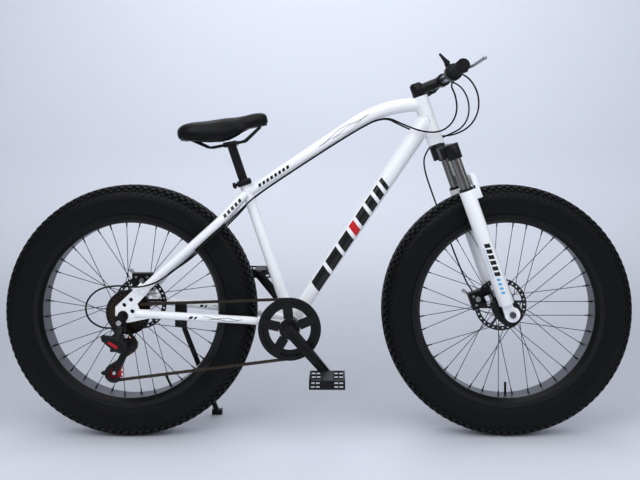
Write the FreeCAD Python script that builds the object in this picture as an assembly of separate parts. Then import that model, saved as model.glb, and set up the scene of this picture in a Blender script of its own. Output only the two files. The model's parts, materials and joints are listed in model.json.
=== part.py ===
"""Fat tyre bicycle with a suspension fork, disc brakes and a seven-speed rear derailleur.

Millimetres. +X is forward, -Y is the drive side, +Z is up; the origin is on the ground,
midway between the axles. One STEP file is written for each named piece.
"""
import FreeCAD, Part
import math
import os

V = FreeCAD.Vector
ROT = FreeCAD.Rotation
PLACE = FreeCAD.Placement
X_AXIS = V(1, 0, 0)
Y_AXIS = V(0, 1, 0)

# Fits
RUN = 0.05          # radial clearance of a shaft that turns or slides in its bore
GAP = 0.4           # clearance between neighbours that move past each other
SEAT = 0.02         # play between pieces that are pressed or bolted together

# Wheels
TYRE_R = 370.0
TYRE_HALF = 50.0
TREAD_FLAT = 22.0
TYRE_WALL = 5.0
RIM_R = 283.0
RIM_HALF = 40.0
RIM_DEPTH = 25.0
RIM_WALL = 3.5
SPOKES = 36
SPOKE_R = 1.0
SPOKE_CROSS = 60.0
FLANGE_R = 33.0
FLANGE_T = 4.0
HUB_R = 17.0
AXLE_R = 5.0
NUT_R = 9.0
NUT_T = 8.0
HUB_END_R = 12.0
DISC_BOSS_R = 22.0
FRONT_FLANGE = 38.0
REAR_FLANGE = 44.0
FRONT_ROTOR_Y = 57.9
REAR_ROTOR_Y = 80.0
ROTOR_BAND = 14.0
ROTOR_ARM_W = 7.0
SPOKE_OFF = 0.45
SPOKE_PLAY = 0.2
SPOKE_BED = 8.0
BEAD_H = 9.0
SIDE_H = 42.0
SHOULDER_H = 15.0
SHOULDER_IN = 6.0
TUBE_DROP = 2.0
TUBE_SKIN = 2.0
VALVE_R = 3.5
VALVE_OUT = 38.0
REAR_VALVE = -64.0      # degrees round the wheel from straight ahead
FRONT_VALVE = -90.0
ROTOR_R = 80.0
ROTOR_T = 1.8
ROTOR_HOLES = 30
ROTOR_ARMS = 6

# Frame layout
TYRE_ROOM = 102.0       # from the rear tyre forward to the bottom bracket
BB_Z = 330.0
SEAT_LEAN = 18.75       # degrees of the seat tube from upright
SEAT_TUBE_LEN = 445.0
SEAT_TUBE_R = 16.0
POST_R = 13.6
BB_HALF = 50.0
BB_R = 22.0
BB_BORE = 17.0
SPINDLE_R = 8.5
HEAD_AHEAD = 408.0      # ahead of the bottom bracket
HEAD_Z = 930.0
STEER_LEAN = 19.5       # degrees of the steering axis from upright
HEAD_TOP = 72.0
HEAD_LOW = 62.0
HEAD_R = 24.0
HEAD_BORE = 20.0
CUP_T = 4.0
LOWER_CUP_T = 11.0
CUP_DEEP = 15.0
STEERER_R = 14.3
TOP_TUBE_JOINT = 406.0  # along the seat tube from the bottom bracket
TOP_TUBE_SLOPE = 32.8   # degrees of its straight run
TOP_TUBE_RUN = 385.0
TOP_TUBE_BEND = 346.0
TOP_TUBE_TURN = 33.0    # degrees of the bow towards the head tube
TOP_TUBE_R0 = 14.0
TOP_TUBE_R1 = 20.5
DOWN_TUBE_R0 = 20.0
DOWN_TUBE_R1 = 26.0
DOWN_TUBE_HIGH = 7.0    # where its axis meets the head tube, above the middle
STAY_R = 12.5
STAY_BEND = 70.0
STAY_END_X = 50.0       # lower end, from the rear axle
STAY_END_Y = 98.5
STAY_END_Z = 68.0
STAY_KNEE_X = 269.0     # bend past the tyre, from the rear axle
STAY_KNEE_Y = 68.0
STAY_KNEE_Z = 266.0
STAY_TOP_Y = 14.0
CHAINSTAY_R = 11.0
CHAINSTAY_BEND = 90.0
CHAINSTAY_END_X = 36.0  # rear end, from the rear axle
CHAINSTAY_END_Z = 6.0
CHAINSTAY_KNEE_X = 122.0    # behind the bottom bracket
CHAINSTAY_KNEE_Y = 62.0
CHAINSTAY_KNEE_Z = 349.0
TUBE_WALL = 2.2
DROPOUT_Y = 95.0
DROPOUT_T = 7.0

# Fork
FORK_OFFSET = 29.875    # axle ahead of the steering axis
LEG_X = 24.5
LEG_Y = 84.0
LEG_R = 22.0
LEG_SHORT = 34.66       # from the leg's end down to the axle
NECK_HALF = 15.4
FRONT_DROPOUT_T = 12.0
STANCHION_R = 16.0
STANCHION_BORE = 13.0
CROWN_TOP = 76.0
CROWN_LOW = 130.0
CROWN_STEP = 10.0
STANCHION_HOLD = 40.0
SPRING_PLUG = 20.0
SEAL_H = 6.0
SEAL_STEP = 1.5
LOWER_TOP = 225.0
STANCHION_END = 360.0
FORK_TRAVEL = 80.0
FRONT_DROPOUT_Y = 75.0
ARCH_X = 48.0
ARCH_T = 13.0
ARCH_TOP = 186.0
ARCH_H = 32.0
SPRING_R = 9.5
SPRING_WIRE = 1.8
SPRING_TURNS = 14
PLUNGER = 335.0
PLUNGER_T = 8.0

# Handlebar
STEM_LOW = 76.0
STEM_H = 38.0
STEM_R = 19.0
STEM_ARM_R = 15.0
STEM_JAW = 24.0
BAR_X = 79.6            # ahead of the steering axis
BAR_Z = 99.0            # above the head tube's middle
BAR_HALF = 340.0
BAR_R = 11.1
BAR_CENTRE_R = 12.7
BAR_CENTRE_HALF = 60.0
GRIP_LEN = 125.0
GRIP_R = 16.0
BRACKET_IN = 59.0       # from the grip inward
BRACKET_HALF = 14.0
LEVER_PIVOT = 36.0      # ahead of the bar
LEVER_T = 9.0
LEVER_REACH = 60.0
LEVER_TIP_IN = 15.0     # from the bar's end inward
LEVER_TIP_R = 5.4
LEVER_PIN_R = 2.5
SHIFTER_IN = 25.0       # from the grip inward
SHIFTER_HALF = 17.0
SHIFTER_R = 23.0
THUMB_LEN = 28.0
THUMB_LEAN = 11.0
THUMB_TIP = 3.0
THUMB_BACK = 5.0
THUMB_R = 7.0
THUMB_W = 8.0

# Seat
POST_LOW = 330.0        # along the seat tube from the bottom bracket
POST_TOP = 566.0
COLLAR_R = 21.0
COLLAR_H = 18.0
COLLAR_TOP = 448.0
EAR_X = 12.0
EAR_Y = 14.0
QR_R = 6.0
QR_T = 10.0
QR_LEN = 52.0
CLAMP_HALF = 19.0
SADDLE_BACK = 16.0      # behind the post's top
SADDLE_UP = 32.0        # above the post's top
SADDLE_TILT = 11.0
SADDLE_LEN = 264.0
SADDLE_TAIL = 80.0      # half width
SADDLE_NOSE = 23.0      # half width
PAD_TAIL_H = 40.0
PAD_NOSE_H = 31.0
BASE_T = 5.0
RAIL_R = 3.5
RAIL_Y = 21.0
RAIL_DROP = 35.0
RAIL_BEND = 22.0
RAIL_FLAT = 52.8        # half the length of the straight part
RAIL_NOSE_X = 105.6
RAIL_NOSE_Y = 10.5
RAIL_TAIL_X = 100.3
RAIL_TAIL_Y = 37.8
RAIL_SINK = 1.225       # of a rail's end below the base
BASE_LEN = 253.4
BASE_SHARE = 0.76       # of the pad's width
PAD_SIDE = ((1.0, 0.34), (0.87, 0.78), (0.45, 0.97))    # shares of half width and height
PAD_FOOT = 0.88         # of the half width, at the skirt's edge
PAD_CLEAR = 0.6         # from the base to the skirt round it
PAD_DEEP = 40.0
# Saddle stations: shares of length, spread and height, and the skirt's depth
PAD_STATIONS = ((-0.5, 0.55, 0.7, 2.0), (-0.42, 0.92, 1.0, 9.0), (-0.2, 1.0, 1.0, 24.0), (0.05, 0.52, 1.0, 24.0),
                (0.3, 0.1, 1.0, 5.0), (0.46, 0.0, 1.0, 1.0), (0.5, -0.3, 0.7, 1.0))

# Drive
CHAIN_Y = -86.0
PITCH = 12.7
ROLLER_R = 3.6
RING_TEETH = 42
COGS = (14, 16, 18, 20, 22, 24, 28)
COG_STEP = 5.0
SPROCKET_T = 1.8
PULLEY_TEETH = 11
PULLEY_T = 2.2
PULLEY_HUB_T = 7.0
TOOTH = 2.6
ROOT_PLAY = 0.5
ROOT_MOUTH = 1.5
ROLLER_W = 1.2
PLATE_T = 0.8
PLATE_GAP = 0.1
PLATE_R = 3.9
CARRIER_R = 21.0
CARRIER_END = 5.0
PULLEY_HUB_R = 8.0
CRANK_LEN = 165.0
CRANK_ANGLE = -49.0
CRANK_Y = 96.0
CRANK_T = 14.0
CRANK_R0 = 17.0
CRANK_R1 = 12.0
GUARD_R = 90.0
GUARD_T = 2.4
GUARD_BAND = 12.0
GUARD_HUB_R = 30.0
SPIDER_ARMS = 5
SPIDER_T = 3.0
SPIDER_R = 66.0
SPIDER_W = 14.0
RING_BORE = 60.0
PEDAL_LEN = 98.0
PEDAL_W = 90.0
PEDAL_H = 25.0
PEDAL_AXLE_R = 5.0
PEDAL_HOLES = 5
PEDAL_RAIL = 5.0
PEDAL_SLOT_X0 = 25.0
PEDAL_SLOT_X1 = 38.5
PEDAL_SLOT_Z = 5.2
PEDAL_SLOT_H = 2.6
PROTECTOR_R = 65.0
PROTECTOR_Y = -50.5

# Rear derailleur, measured from the rear axle
GUIDE_X = 12.0
GUIDE_Z = -85.0
TENSION_X = -28.0
TENSION_Z = -165.0
LINK_LEN = 34.0
LINK_START = 50.0       # degrees outward from straight down
LINK_X = -7.0
LINK_HALF = 10.0
LINK_UP_Y = -112.0
LINK_UP_Z = -32.0
LINK_SPREAD_Y = 14.0
LINK_SPREAD_Z = -5.0
LINK_WEB = 7.0
BOSS_R = 5.5
HANGER_R = 15.0
HANGER_T = 3.0
KNUCKLE_R = 12.0
KNUCKLE_PIN = 30.0
CAGE_HALF = 4.5
CAGE_W = 18.0
CAGE_COVER_R = 20.0
LUG_T = 6.0
LINK_PIN_R = 2.0
PULLEY_BOLT_R = 2.5
SPIGOT_R = 4.0
CAGE_PLATE = 2.0
CAGE_PIVOT_X = 4.0
CAGE_PIVOT_Z = -79.0

# Stand
STAND_X = 125.0         # ahead of the rear axle
STAND_Y = 84.0
STAND_R = 8.0
STAND_FOOT_X = 225.0    # ahead of the rear axle
STAND_FOOT_Y = 150.0
STAND_HALF = 18.0
STAND_PLATE = 10.0
STAND_HUB = 10.0
STAND_NECK = 6.4
STAND_PIVOT_DROP = 62.0 # below the chainstay's axis

# Brakes: side-view boxes about the axle
REAR_CALIPER_BOX = (-24.0, 36.0, 50.0, 94.0)
REAR_CALIPER_MOUNT = (16.0, 36.0, 40.0, 58.0)
REAR_ARM = ((-4.0, 76.0), (-34.0, 98.0))
FRONT_CALIPER_BOX = (-86.0, -40.0, 12.0, 66.0)
FRONT_CALIPER_MOUNT = (-46.0, 38.0, 62.0)
FRONT_ARM = ((-70.0, 44.0), (-92.0, 74.0))
CALIPER_IN = 13.0
CALIPER_SLOT = 2.6
ARM_T = 4.5
ARM_R = 9.0
ARM_TIP_R = 6.3
ARM_PIN_R = 3.0

CABLE_R = 2.2
CORNER_SHARE = 0.45     # of the shorter run, taken by a cable's arc

SIN_STEER = math.sin(math.radians(STEER_LEAN))
COS_STEER = math.cos(math.radians(STEER_LEAN))
AXLE_DOWN = (HEAD_Z - TYRE_R + FORK_OFFSET * SIN_STEER) / COS_STEER    # axle below the head tube's middle
REAR_CENTRE = TYRE_R + TYRE_ROOM
WHEELBASE = REAR_CENTRE + HEAD_AHEAD + FORK_OFFSET * COS_STEER + AXLE_DOWN * SIN_STEER
REAR_AXLE = V(-WHEELBASE / 2, 0, TYRE_R)
FRONT_AXLE = V(WHEELBASE / 2, 0, TYRE_R)
BB_X = REAR_AXLE.x + REAR_CENTRE
BB = V(BB_X, 0, BB_Z)
HEAD = V(BB_X + HEAD_AHEAD, 0, HEAD_Z)
LEG_END = AXLE_DOWN - LEG_SHORT
STOP_X = LINK_X - LINK_HALF - GAP - LUG_T - BOSS_R    # end of the cable stop
GRIP_END = BAR_HALF - GRIP_LEN
BRACKET_Y = GRIP_END - BRACKET_IN
SHIFTER_Y = GRIP_END - SHIFTER_IN
LEVER_TIP_Y = BAR_HALF - LEVER_TIP_IN
STEER = PLACE(HEAD, ROT(Y_AXIS, -STEER_LEAN))
SEATING = PLACE(BB, ROT(Y_AXIS, -SEAT_LEAN))
POST_END = SEATING.multVec(V(0, 0, POST_TOP))
SADDLE = PLACE(POST_END + V(-SADDLE_BACK, 0, SADDLE_UP), ROT(Y_AXIS, -SADDLE_TILT))

pieces = {}


def rod(start, end, radius):
    """Round bar between two points."""
    along = end - start
    return Part.makeCylinder(radius, along.Length, start, along)


def taper(start, end, r0, r1):
    """Round bar that changes radius from r0 to r1."""
    along = end - start
    return Part.makeCone(r0, r1, along.Length, start, along)


def sleeve(start, end, outer, inner):
    """Round tube between two points."""
    return rod(start, end, outer).cut(rod(start, end, inner))


def block(x0, x1, y0, y1, z0, z1):
    """Box from its two corners."""
    return Part.makeBox(x1 - x0, y1 - y0, z1 - z0, V(x0, y0, z0))


def across(x, z, y0, y1, radius):
    """Round bar along Y at a place in the side view."""
    return rod(V(x, y0, z), V(x, y1, z), radius)


def placed(shape, frame):
    """The shape carried into another frame."""
    moved = shape.copy()
    moved.Placement = frame.multiply(moved.Placement)
    return moved


def mirrored(shape):
    """The shape on the other side of the bicycle."""
    return shape.mirror(V(0, 0, 0), Y_AXIS)


def outline(points, y0, y1):
    """Flat plate with a polygon outline in the side view."""
    corners = [V(x, y0, z) for x, z in points]
    face = Part.Face(Part.makePolygon(corners + corners[:1]))
    return face.extrude(V(0, y1 - y0, 0))


def fused(first, *others):
    """One solid from several that touch."""
    return first.fuse(list(others)).removeSplitter()


def route(points, bend=None):
    """Wire of straight runs joined by tangent arcs, of one radius or as large as each corner allows."""
    edges = []
    here = points[0]
    for before, corner, after in zip(points, points[1:], points[2:]):
        u = (before - corner).normalize()
        w = (after - corner).normalize()
        half = u.getAngle(w) / 2
        shorter = min((before - corner).Length, (after - corner).Length)
        reach = bend / math.tan(half) if bend else CORNER_SHARE * shorter
        radius = reach * math.tan(half)
        start = corner + u * reach
        end = corner + w * reach
        middle = (u + w).normalize()
        top = corner + middle * (radius / math.sin(half) - radius)
        edges.append(Part.LineSegment(here, start).toShape())
        edges.append(Part.Arc(start, top, end).toShape())
        here = end
    edges.append(Part.LineSegment(here, points[-1]).toShape())
    return Part.Wire(edges)


def swept(spine, radius):
    """Round bar along a route."""
    first, second = [vertex.Point for vertex in spine.OrderedVertexes[:2]]
    ring = Part.Wire(Part.makeCircle(radius, first, second - first))
    return spine.makePipeShell([ring], True, False)


def turned(points):
    """Ring turned about the Y axis from a closed outline of (y, radius) points."""
    corners = [V(r, y, 0) for y, r in points]
    face = Part.Face(Part.makePolygon(corners + corners[:1]))
    return face.revolve(V(0, 0, 0), Y_AXIS, 360)


def polar(radius, degrees, y=0.0):
    """Point round the Y axis, from straight ahead towards up."""
    a = math.radians(degrees)
    return V(radius * math.cos(a), y, radius * math.sin(a))


def keep(name, *solids):
    """Records the solids of one named piece."""
    pieces[name] = Part.makeCompound(list(solids)) if len(solids) > 1 else solids[0]


def frame_tubes():
    """Welded frame: every tube is cut to the face of the one that it meets."""
    head_solid = placed(rod(V(0, 0, -HEAD_LOW - HEAD_R), V(0, 0, HEAD_TOP + HEAD_R), HEAD_R), STEER)
    seat_solid = placed(rod(V(0, 0, 0), V(0, 0, SEAT_TUBE_LEN), SEAT_TUBE_R), SEATING)
    shell_solid = rod(V(BB_X, -BB_HALF, BB_Z), V(BB_X, BB_HALF, BB_Z), BB_R)

    tube = sleeve(V(0, 0, -HEAD_LOW), V(0, 0, HEAD_TOP), HEAD_R, HEAD_BORE)
    bore = STEERER_R + RUN
    upper = fused(sleeve(V(0, 0, HEAD_TOP), V(0, 0, HEAD_TOP + CUP_T), HEAD_R, bore),
                  sleeve(V(0, 0, HEAD_TOP - CUP_DEEP), V(0, 0, HEAD_TOP), HEAD_BORE - SEAT, bore))
    lower = fused(sleeve(V(0, 0, -HEAD_LOW - LOWER_CUP_T), V(0, 0, -HEAD_LOW), HEAD_R, bore),
                  sleeve(V(0, 0, -HEAD_LOW), V(0, 0, CUP_DEEP - HEAD_LOW), HEAD_BORE - SEAT, bore))
    keep("head_tube", placed(tube, STEER), placed(upper, STEER), placed(lower, STEER))

    shell = shell_solid.cut(across(BB_X, BB_Z, -BB_HALF, BB_HALF, BB_BORE))
    cup = fused(across(BB_X, BB_Z, -BB_HALF, CUP_DEEP - BB_HALF, BB_BORE - SEAT),
                across(BB_X, BB_Z, -BB_HALF - CUP_T, -BB_HALF, BB_R))
    cup = cup.cut(across(BB_X, BB_Z, -BB_HALF - CUP_T, CUP_DEEP - BB_HALF, SPINDLE_R + RUN))
    keep("bottom_bracket", shell, cup, mirrored(cup))

    post_bore = placed(rod(V(0, 0, 2 * BB_R), V(0, 0, SEAT_TUBE_LEN), POST_R + RUN), SEATING)
    seat_tube = seat_solid.cut(post_bore).cut(shell_solid)
    keep("seat_tube", seat_tube)

    top_tube = bow_tube(TOP_TUBE_R0, TOP_TUBE_R1)
    hollow = bow_tube(TOP_TUBE_R0 - TUBE_WALL, TOP_TUBE_R1 - TUBE_WALL)
    top_tube = top_tube.cut(hollow).cut(seat_solid).cut(head_solid)
    keep("top_tube", largest(top_tube))

    joint = STEER.multVec(V(0, 0, DOWN_TUBE_HIGH))
    down_tube = taper(BB, joint, DOWN_TUBE_R0, DOWN_TUBE_R1)
    inside = taper(BB, joint, DOWN_TUBE_R0 - TUBE_WALL, DOWN_TUBE_R1 - TUBE_WALL)
    down_tube = down_tube.cut(inside).cut(shell_solid).cut(head_solid).cut(seat_solid)
    keep("down_tube", largest(down_tube))

    plate = dropout()
    stay_top = SEATING.multVec(V(-SEAT_TUBE_R / 2, -STAY_TOP_Y, TOP_TUBE_JOINT))
    line = [REAR_AXLE + V(STAY_END_X, -STAY_END_Y, STAY_END_Z),
            REAR_AXLE + V(STAY_KNEE_X, -STAY_KNEE_Y, STAY_KNEE_Z), stay_top]
    stay = swept(route(line, STAY_BEND), STAY_R)
    right_half = block(-WHEELBASE, 0, -WHEELBASE, -GAP / 4, 0, WHEELBASE)
    stay = stay.common(right_half).cut(seat_solid).cut(bow_tube(TOP_TUBE_R0, TOP_TUBE_R1)).cut(plate)
    keep("seat_stays", largest(stay), mirrored(largest(stay)))

    line = [REAR_AXLE + V(CHAINSTAY_END_X, -STAY_END_Y, CHAINSTAY_END_Z),
            V(BB_X - CHAINSTAY_KNEE_X, -CHAINSTAY_KNEE_Y, CHAINSTAY_KNEE_Z),
            V(BB_X, -BB_HALF + CHAINSTAY_R + CUP_T, BB_Z)]
    chainstay = swept(route(line, CHAINSTAY_BEND), CHAINSTAY_R)
    long_shell = across(BB_X, BB_Z, -2 * BB_HALF, 2 * BB_HALF, BB_R)
    chainstay = largest(chainstay.cut(long_shell).cut(plate))
    keep("chainstays", chainstay, mirrored(chainstay))
    keep("dropouts", plate, mirrored(plate))
    return chainstay


def bow_tube(r0, r1):
    """Top tube: a tapered straight run that bows over towards the head tube."""
    start = SEATING.multVec(V(0, 0, TOP_TUBE_JOINT))
    slope = math.radians(TOP_TUBE_SLOPE)
    along = V(math.cos(slope), 0, math.sin(slope))
    below = V(math.sin(slope), 0, -math.cos(slope))
    end = start + along * TOP_TUBE_RUN
    ring = Part.Face(Part.Wire(Part.makeCircle(r1, end, along)))
    bend = ring.revolve(end + below * TOP_TUBE_BEND, Y_AXIS, TOP_TUBE_TURN)
    return taper(start, end, r0, r1).fuse(bend)


def largest(shape):
    """The main solid that is left after a cut."""
    return max(shape.Solids, key=lambda s: s.Volume)


def dropout():
    """Right rear dropout plate with the axle hole and three lightening holes."""
    points = ((-22, -12), (-22, 26), (6, 52), (50, 94), (74, 70), (40, 34),
              (46, 18), (78, 17), (78, -6), (20, -18), (-6, -22))
    plate = outline(points, -DROPOUT_Y - DROPOUT_T, -DROPOUT_Y)
    plate.translate(REAR_AXLE)
    holes = ((0, 0, AXLE_R + SEAT), (3, 31, 6), (22, 46, 6), (26, 13, 6))
    for x, z, radius in holes:
        hole = across(REAR_AXLE.x + x, REAR_AXLE.z + z, -DROPOUT_Y - DROPOUT_T, -DROPOUT_Y, radius)
        plate = plate.cut(hole)
    return plate


def fork():
    """Suspension fork: crown and steerer, stanchions, lowers with their arch, springs and axle."""
    mouth = Part.makeCompound([rod(V(LEG_X, y, -CROWN_LOW), V(LEG_X, y, -CROWN_LOW + STANCHION_HOLD), STANCHION_R)
                               for y in (-LEG_Y, LEG_Y)])
    crown = fused(rod(V(0, 0, -CROWN_LOW + CROWN_STEP), V(0, 0, -CROWN_TOP), HEAD_R),
                  block(-CROWN_STEP, LEG_X + STANCHION_R, -LEG_Y, LEG_Y, -CROWN_LOW + CROWN_STEP, -CROWN_TOP - CROWN_STEP),
                  rod(V(LEG_X, -LEG_Y, -CROWN_LOW), V(LEG_X, -LEG_Y, -CROWN_TOP - CROWN_STEP), LEG_R),
                  rod(V(LEG_X, LEG_Y, -CROWN_LOW), V(LEG_X, LEG_Y, -CROWN_TOP - CROWN_STEP), LEG_R))
    steerer = rod(V(0, 0, -CROWN_TOP - CROWN_STEP), V(0, 0, STEM_LOW + STEM_H), STEERER_R)
    keep("fork_crown", placed(fused(crown.cut(mouth), steerer), STEER))

    legs = []
    springs = []
    tubes = []
    top = -CROWN_LOW + STANCHION_HOLD
    for y in (-LEG_Y, LEG_Y):
        outer = rod(V(LEG_X, y, -STANCHION_END), V(LEG_X, y, top), STANCHION_R)
        bore = rod(V(LEG_X, y, -STANCHION_END), V(LEG_X, y, top - SPRING_PLUG), STANCHION_BORE)
        tubes.append(placed(outer.cut(bore), STEER))
        springs.append(placed(coil(y, -PLUNGER + GAP, top - SPRING_PLUG - GAP), STEER))
        legs.append(lower_leg(y))
    keep("stanchions", *tubes)
    keep("fork_springs", *springs)

    bridge = block(ARCH_X, ARCH_X + ARCH_T, -LEG_Y - LEG_R / 2, LEG_Y + LEG_R / 2, -ARCH_TOP - ARCH_H, -ARCH_TOP)
    ties = [block(LEG_X, ARCH_X + ARCH_T, y - LEG_R / 2, y + LEG_R / 2, -LOWER_TOP - ARCH_H, -LOWER_TOP - GAP)
            for y in (-LEG_Y, LEG_Y)]
    posts = [block(ARCH_X, ARCH_X + ARCH_T, y - LEG_R / 2, y + LEG_R / 2, -LOWER_TOP - ARCH_H, -ARCH_TOP)
             for y in (-LEG_Y, LEG_Y)]
    bores = [leg_bore(y) for y in (-LEG_Y, LEG_Y)]
    lowers = fused(legs[0], legs[1], bridge, *ties, *posts)
    for bore in bores:
        lowers = lowers.cut(bore)
    rods = [plunger(y) for y in (-LEG_Y, LEG_Y)]
    lowers = lowers.fuse(rods).removeSplitter()
    lowers = lowers.cut(across(FORK_OFFSET, -AXLE_DOWN, -LEG_Y - LEG_R, LEG_Y + LEG_R, AXLE_R + SEAT))
    seal = sleeve(V(LEG_X, -LEG_Y, -LOWER_TOP), V(LEG_X, -LEG_Y, -LOWER_TOP + SEAL_H), LEG_R - SEAL_STEP, STANCHION_R + RUN)
    keep("fork_lowers", placed(lowers, STEER), placed(seal, STEER), placed(mirrored(seal), STEER))

    axle = across(FORK_OFFSET, -AXLE_DOWN, -LEG_Y - NUT_T, LEG_Y + NUT_T, AXLE_R)
    face = FRONT_DROPOUT_Y + FRONT_DROPOUT_T
    nut = across(FORK_OFFSET, -AXLE_DOWN, -face - NUT_T, -face, NUT_R)
    keep("front_axle", placed(fused(axle, nut, mirrored(nut)), STEER))


def lower_leg(y):
    """One fork lower with its dropout plate, before it is bored."""
    side = 1 if y > 0 else -1
    leg = rod(V(LEG_X, y, -LEG_END), V(LEG_X, y, -LOWER_TOP), LEG_R)
    y0, y1 = sorted((side * FRONT_DROPOUT_Y, side * (FRONT_DROPOUT_Y + FRONT_DROPOUT_T)))
    plate = across(FORK_OFFSET, -AXLE_DOWN, y0, y1, LEG_R)
    neck = block(LEG_X - NECK_HALF, LEG_X + NECK_HALF, y0, y1, -AXLE_DOWN, -LEG_END + LEG_R)
    return fused(leg, plate, neck)


def leg_bore(y):
    """Bore of a fork lower, deep enough for the whole travel."""
    return rod(V(LEG_X, y, -STANCHION_END - FORK_TRAVEL - CUP_DEEP), V(LEG_X, y, -LOWER_TOP), STANCHION_R + RUN)


def plunger(y):
    """Rod from the bottom of a fork lower up to the seat of its spring."""
    foot = -STANCHION_END - FORK_TRAVEL - CUP_DEEP
    shaft = rod(V(LEG_X, y, foot), V(LEG_X, y, -PLUNGER), AXLE_R)
    seat = rod(V(LEG_X, y, -PLUNGER - PLUNGER_T), V(LEG_X, y, -PLUNGER), STANCHION_BORE - GAP)
    return shaft.fuse(seat)


def coil(y, low, high):
    """Fork spring as one unbroken helix."""
    height = high - low - 2 * SPRING_WIRE
    helix = Part.makeHelix(height / SPRING_TURNS, height, SPRING_R)
    ring = Part.Wire(Part.makeCircle(SPRING_WIRE, V(SPRING_R, 0, 0), Y_AXIS))
    spring = Part.Wire(helix).makePipeShell([ring], True, True)
    spring.translate(V(LEG_X, y, low + SPRING_WIRE))
    least = height / SPRING_TURNS - 2 * SPRING_WIRE
    print("fork spring, least gap between turns", round(least, 2))
    return spring


def cockpit():
    """Stem, handlebar, grips, brake levers and the thumb shifter."""
    clamp = sleeve(V(0, 0, STEM_LOW), V(0, 0, STEM_LOW + STEM_H), STEM_R, STEERER_R)
    arm = rod(V(0, 0, STEM_LOW + STEM_H / 2), V(BAR_X, 0, BAR_Z), STEM_ARM_R)
    arm = arm.cut(rod(V(0, 0, STEM_LOW - STEM_H), V(0, 0, STEM_LOW + 2 * STEM_H), STEERER_R))
    jaw = across(BAR_X, BAR_Z, -STEM_JAW, STEM_JAW, STEM_R)
    stem = fused(clamp, arm, jaw).cut(across(BAR_X, BAR_Z, -STEM_JAW, STEM_JAW, BAR_CENTRE_R))
    cap = rod(V(0, 0, STEM_LOW + STEM_H), V(0, 0, STEM_LOW + STEM_H + CUP_T), STEM_R - CUP_T)
    keep("stem", placed(stem, STEER), placed(cap, STEER))

    inner = BAR_HALF - CUP_T
    bar = fused(across(BAR_X, BAR_Z, -inner, inner, BAR_R),
                across(BAR_X, BAR_Z, -BAR_CENTRE_HALF, BAR_CENTRE_HALF, BAR_CENTRE_R))
    keep("handlebar", placed(bar, STEER))
    grip = across(BAR_X, BAR_Z, -BAR_HALF, GRIP_LEN - BAR_HALF, GRIP_R).cut(bar)
    keep("grips", placed(grip, STEER), placed(mirrored(grip), STEER))

    bracket = lever_bracket()
    shifter, thumb = thumb_shifter()
    keep("bar_clamps", placed(bracket, STEER), placed(mirrored(bracket), STEER), placed(shifter, STEER))
    keep("shift_lever", placed(thumb, STEER))
    lever = brake_lever()
    keep("right_brake_lever", placed(lever, STEER))
    keep("left_brake_lever", placed(mirrored(lever), STEER))


def lever_bracket():
    """Right brake lever bracket: a clamp on the bar with a fork and pin for the lever."""
    pivot = BAR_X + LEVER_PIVOT
    ring = across(BAR_X, BAR_Z, -BRACKET_Y - BRACKET_HALF / 2, -BRACKET_Y + BRACKET_HALF / 2, GRIP_R)
    body = block(BAR_X, pivot + LEVER_T, -BRACKET_Y - BRACKET_HALF, -BRACKET_Y + BRACKET_HALF,
                 BAR_Z - LEVER_T, BAR_Z + LEVER_T)
    slot = block(pivot - LEVER_T - GAP, pivot + 2 * LEVER_T, -BRACKET_Y - 2 * BRACKET_HALF,
                 -BRACKET_Y + LEVER_T + GAP, BAR_Z - LEVER_T / 2 - GAP, BAR_Z + LEVER_T / 2 + GAP)
    pin = rod(V(pivot, -BRACKET_Y, BAR_Z - LEVER_T), V(pivot, -BRACKET_Y, BAR_Z + LEVER_T), LEVER_PIN_R)
    bore = across(BAR_X, BAR_Z, -BAR_HALF, 0, BAR_R)
    return fused(ring, body).cut(slot).cut(bore).fuse(pin).removeSplitter()


def brake_lever():
    """Right brake lever: an eye on the pin and a blade that runs out in front of the grip."""
    pivot = V(BAR_X + LEVER_PIVOT, -BRACKET_Y, BAR_Z)
    reach = BAR_X + LEVER_REACH
    eye = rod(pivot - V(0, 0, LEVER_T / 2), pivot + V(0, 0, LEVER_T / 2), LEVER_T)
    line = [pivot, V(reach, -BRACKET_Y - LEVER_PIVOT, BAR_Z), V(reach, -LEVER_TIP_Y, BAR_Z)]
    blade = swept(route(line, LEVER_PIVOT), LEVER_T / 2)
    tip = Part.makeSphere(LEVER_TIP_R, V(reach, -LEVER_TIP_Y, BAR_Z))
    hole = rod(pivot - V(0, 0, LEVER_T), pivot + V(0, 0, LEVER_T), LEVER_PIN_R + RUN)
    return fused(eye, blade, tip).cut(hole)


def thumb_shifter():
    """Thumb shifter pod on the bar, and its lever on a cross pin."""
    pod = across(BAR_X, BAR_Z, -SHIFTER_Y - SHIFTER_HALF, -SHIFTER_Y + SHIFTER_HALF, SHIFTER_R)
    axis_x = BAR_X - THUMB_BACK
    axis_z = BAR_Z + SHIFTER_R + THUMB_R + 2 * GAP
    inner = -SHIFTER_Y + SHIFTER_HALF
    lug = block(axis_x - THUMB_R, axis_x + THUMB_R, inner - THUMB_R, inner, BAR_Z, axis_z + THUMB_R)
    pin = across(axis_x, axis_z, inner - THUMB_R - THUMB_W - 2 * GAP, inner, LEVER_PIN_R)
    bore = across(BAR_X, BAR_Z, -BAR_HALF, 0, BAR_R)
    body = fused(pod, lug, pin).cut(bore)
    y1 = inner - THUMB_R - GAP
    hub = across(axis_x, axis_z, y1 - THUMB_W, y1, THUMB_R)
    tip_x, tip_z = axis_x - THUMB_LEAN, axis_z + THUMB_LEN
    fin = outline([(axis_x - THUMB_R, axis_z), (tip_x - THUMB_TIP, tip_z), (tip_x + THUMB_TIP, tip_z),
                   (axis_x + THUMB_R, axis_z)], y1 - THUMB_W, y1)
    thumb = fused(hub, fin, across(tip_x, tip_z, y1 - THUMB_W, y1, THUMB_TIP))
    return body, thumb.cut(across(axis_x, axis_z, -BAR_HALF, 0, LEVER_PIN_R + RUN))


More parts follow.
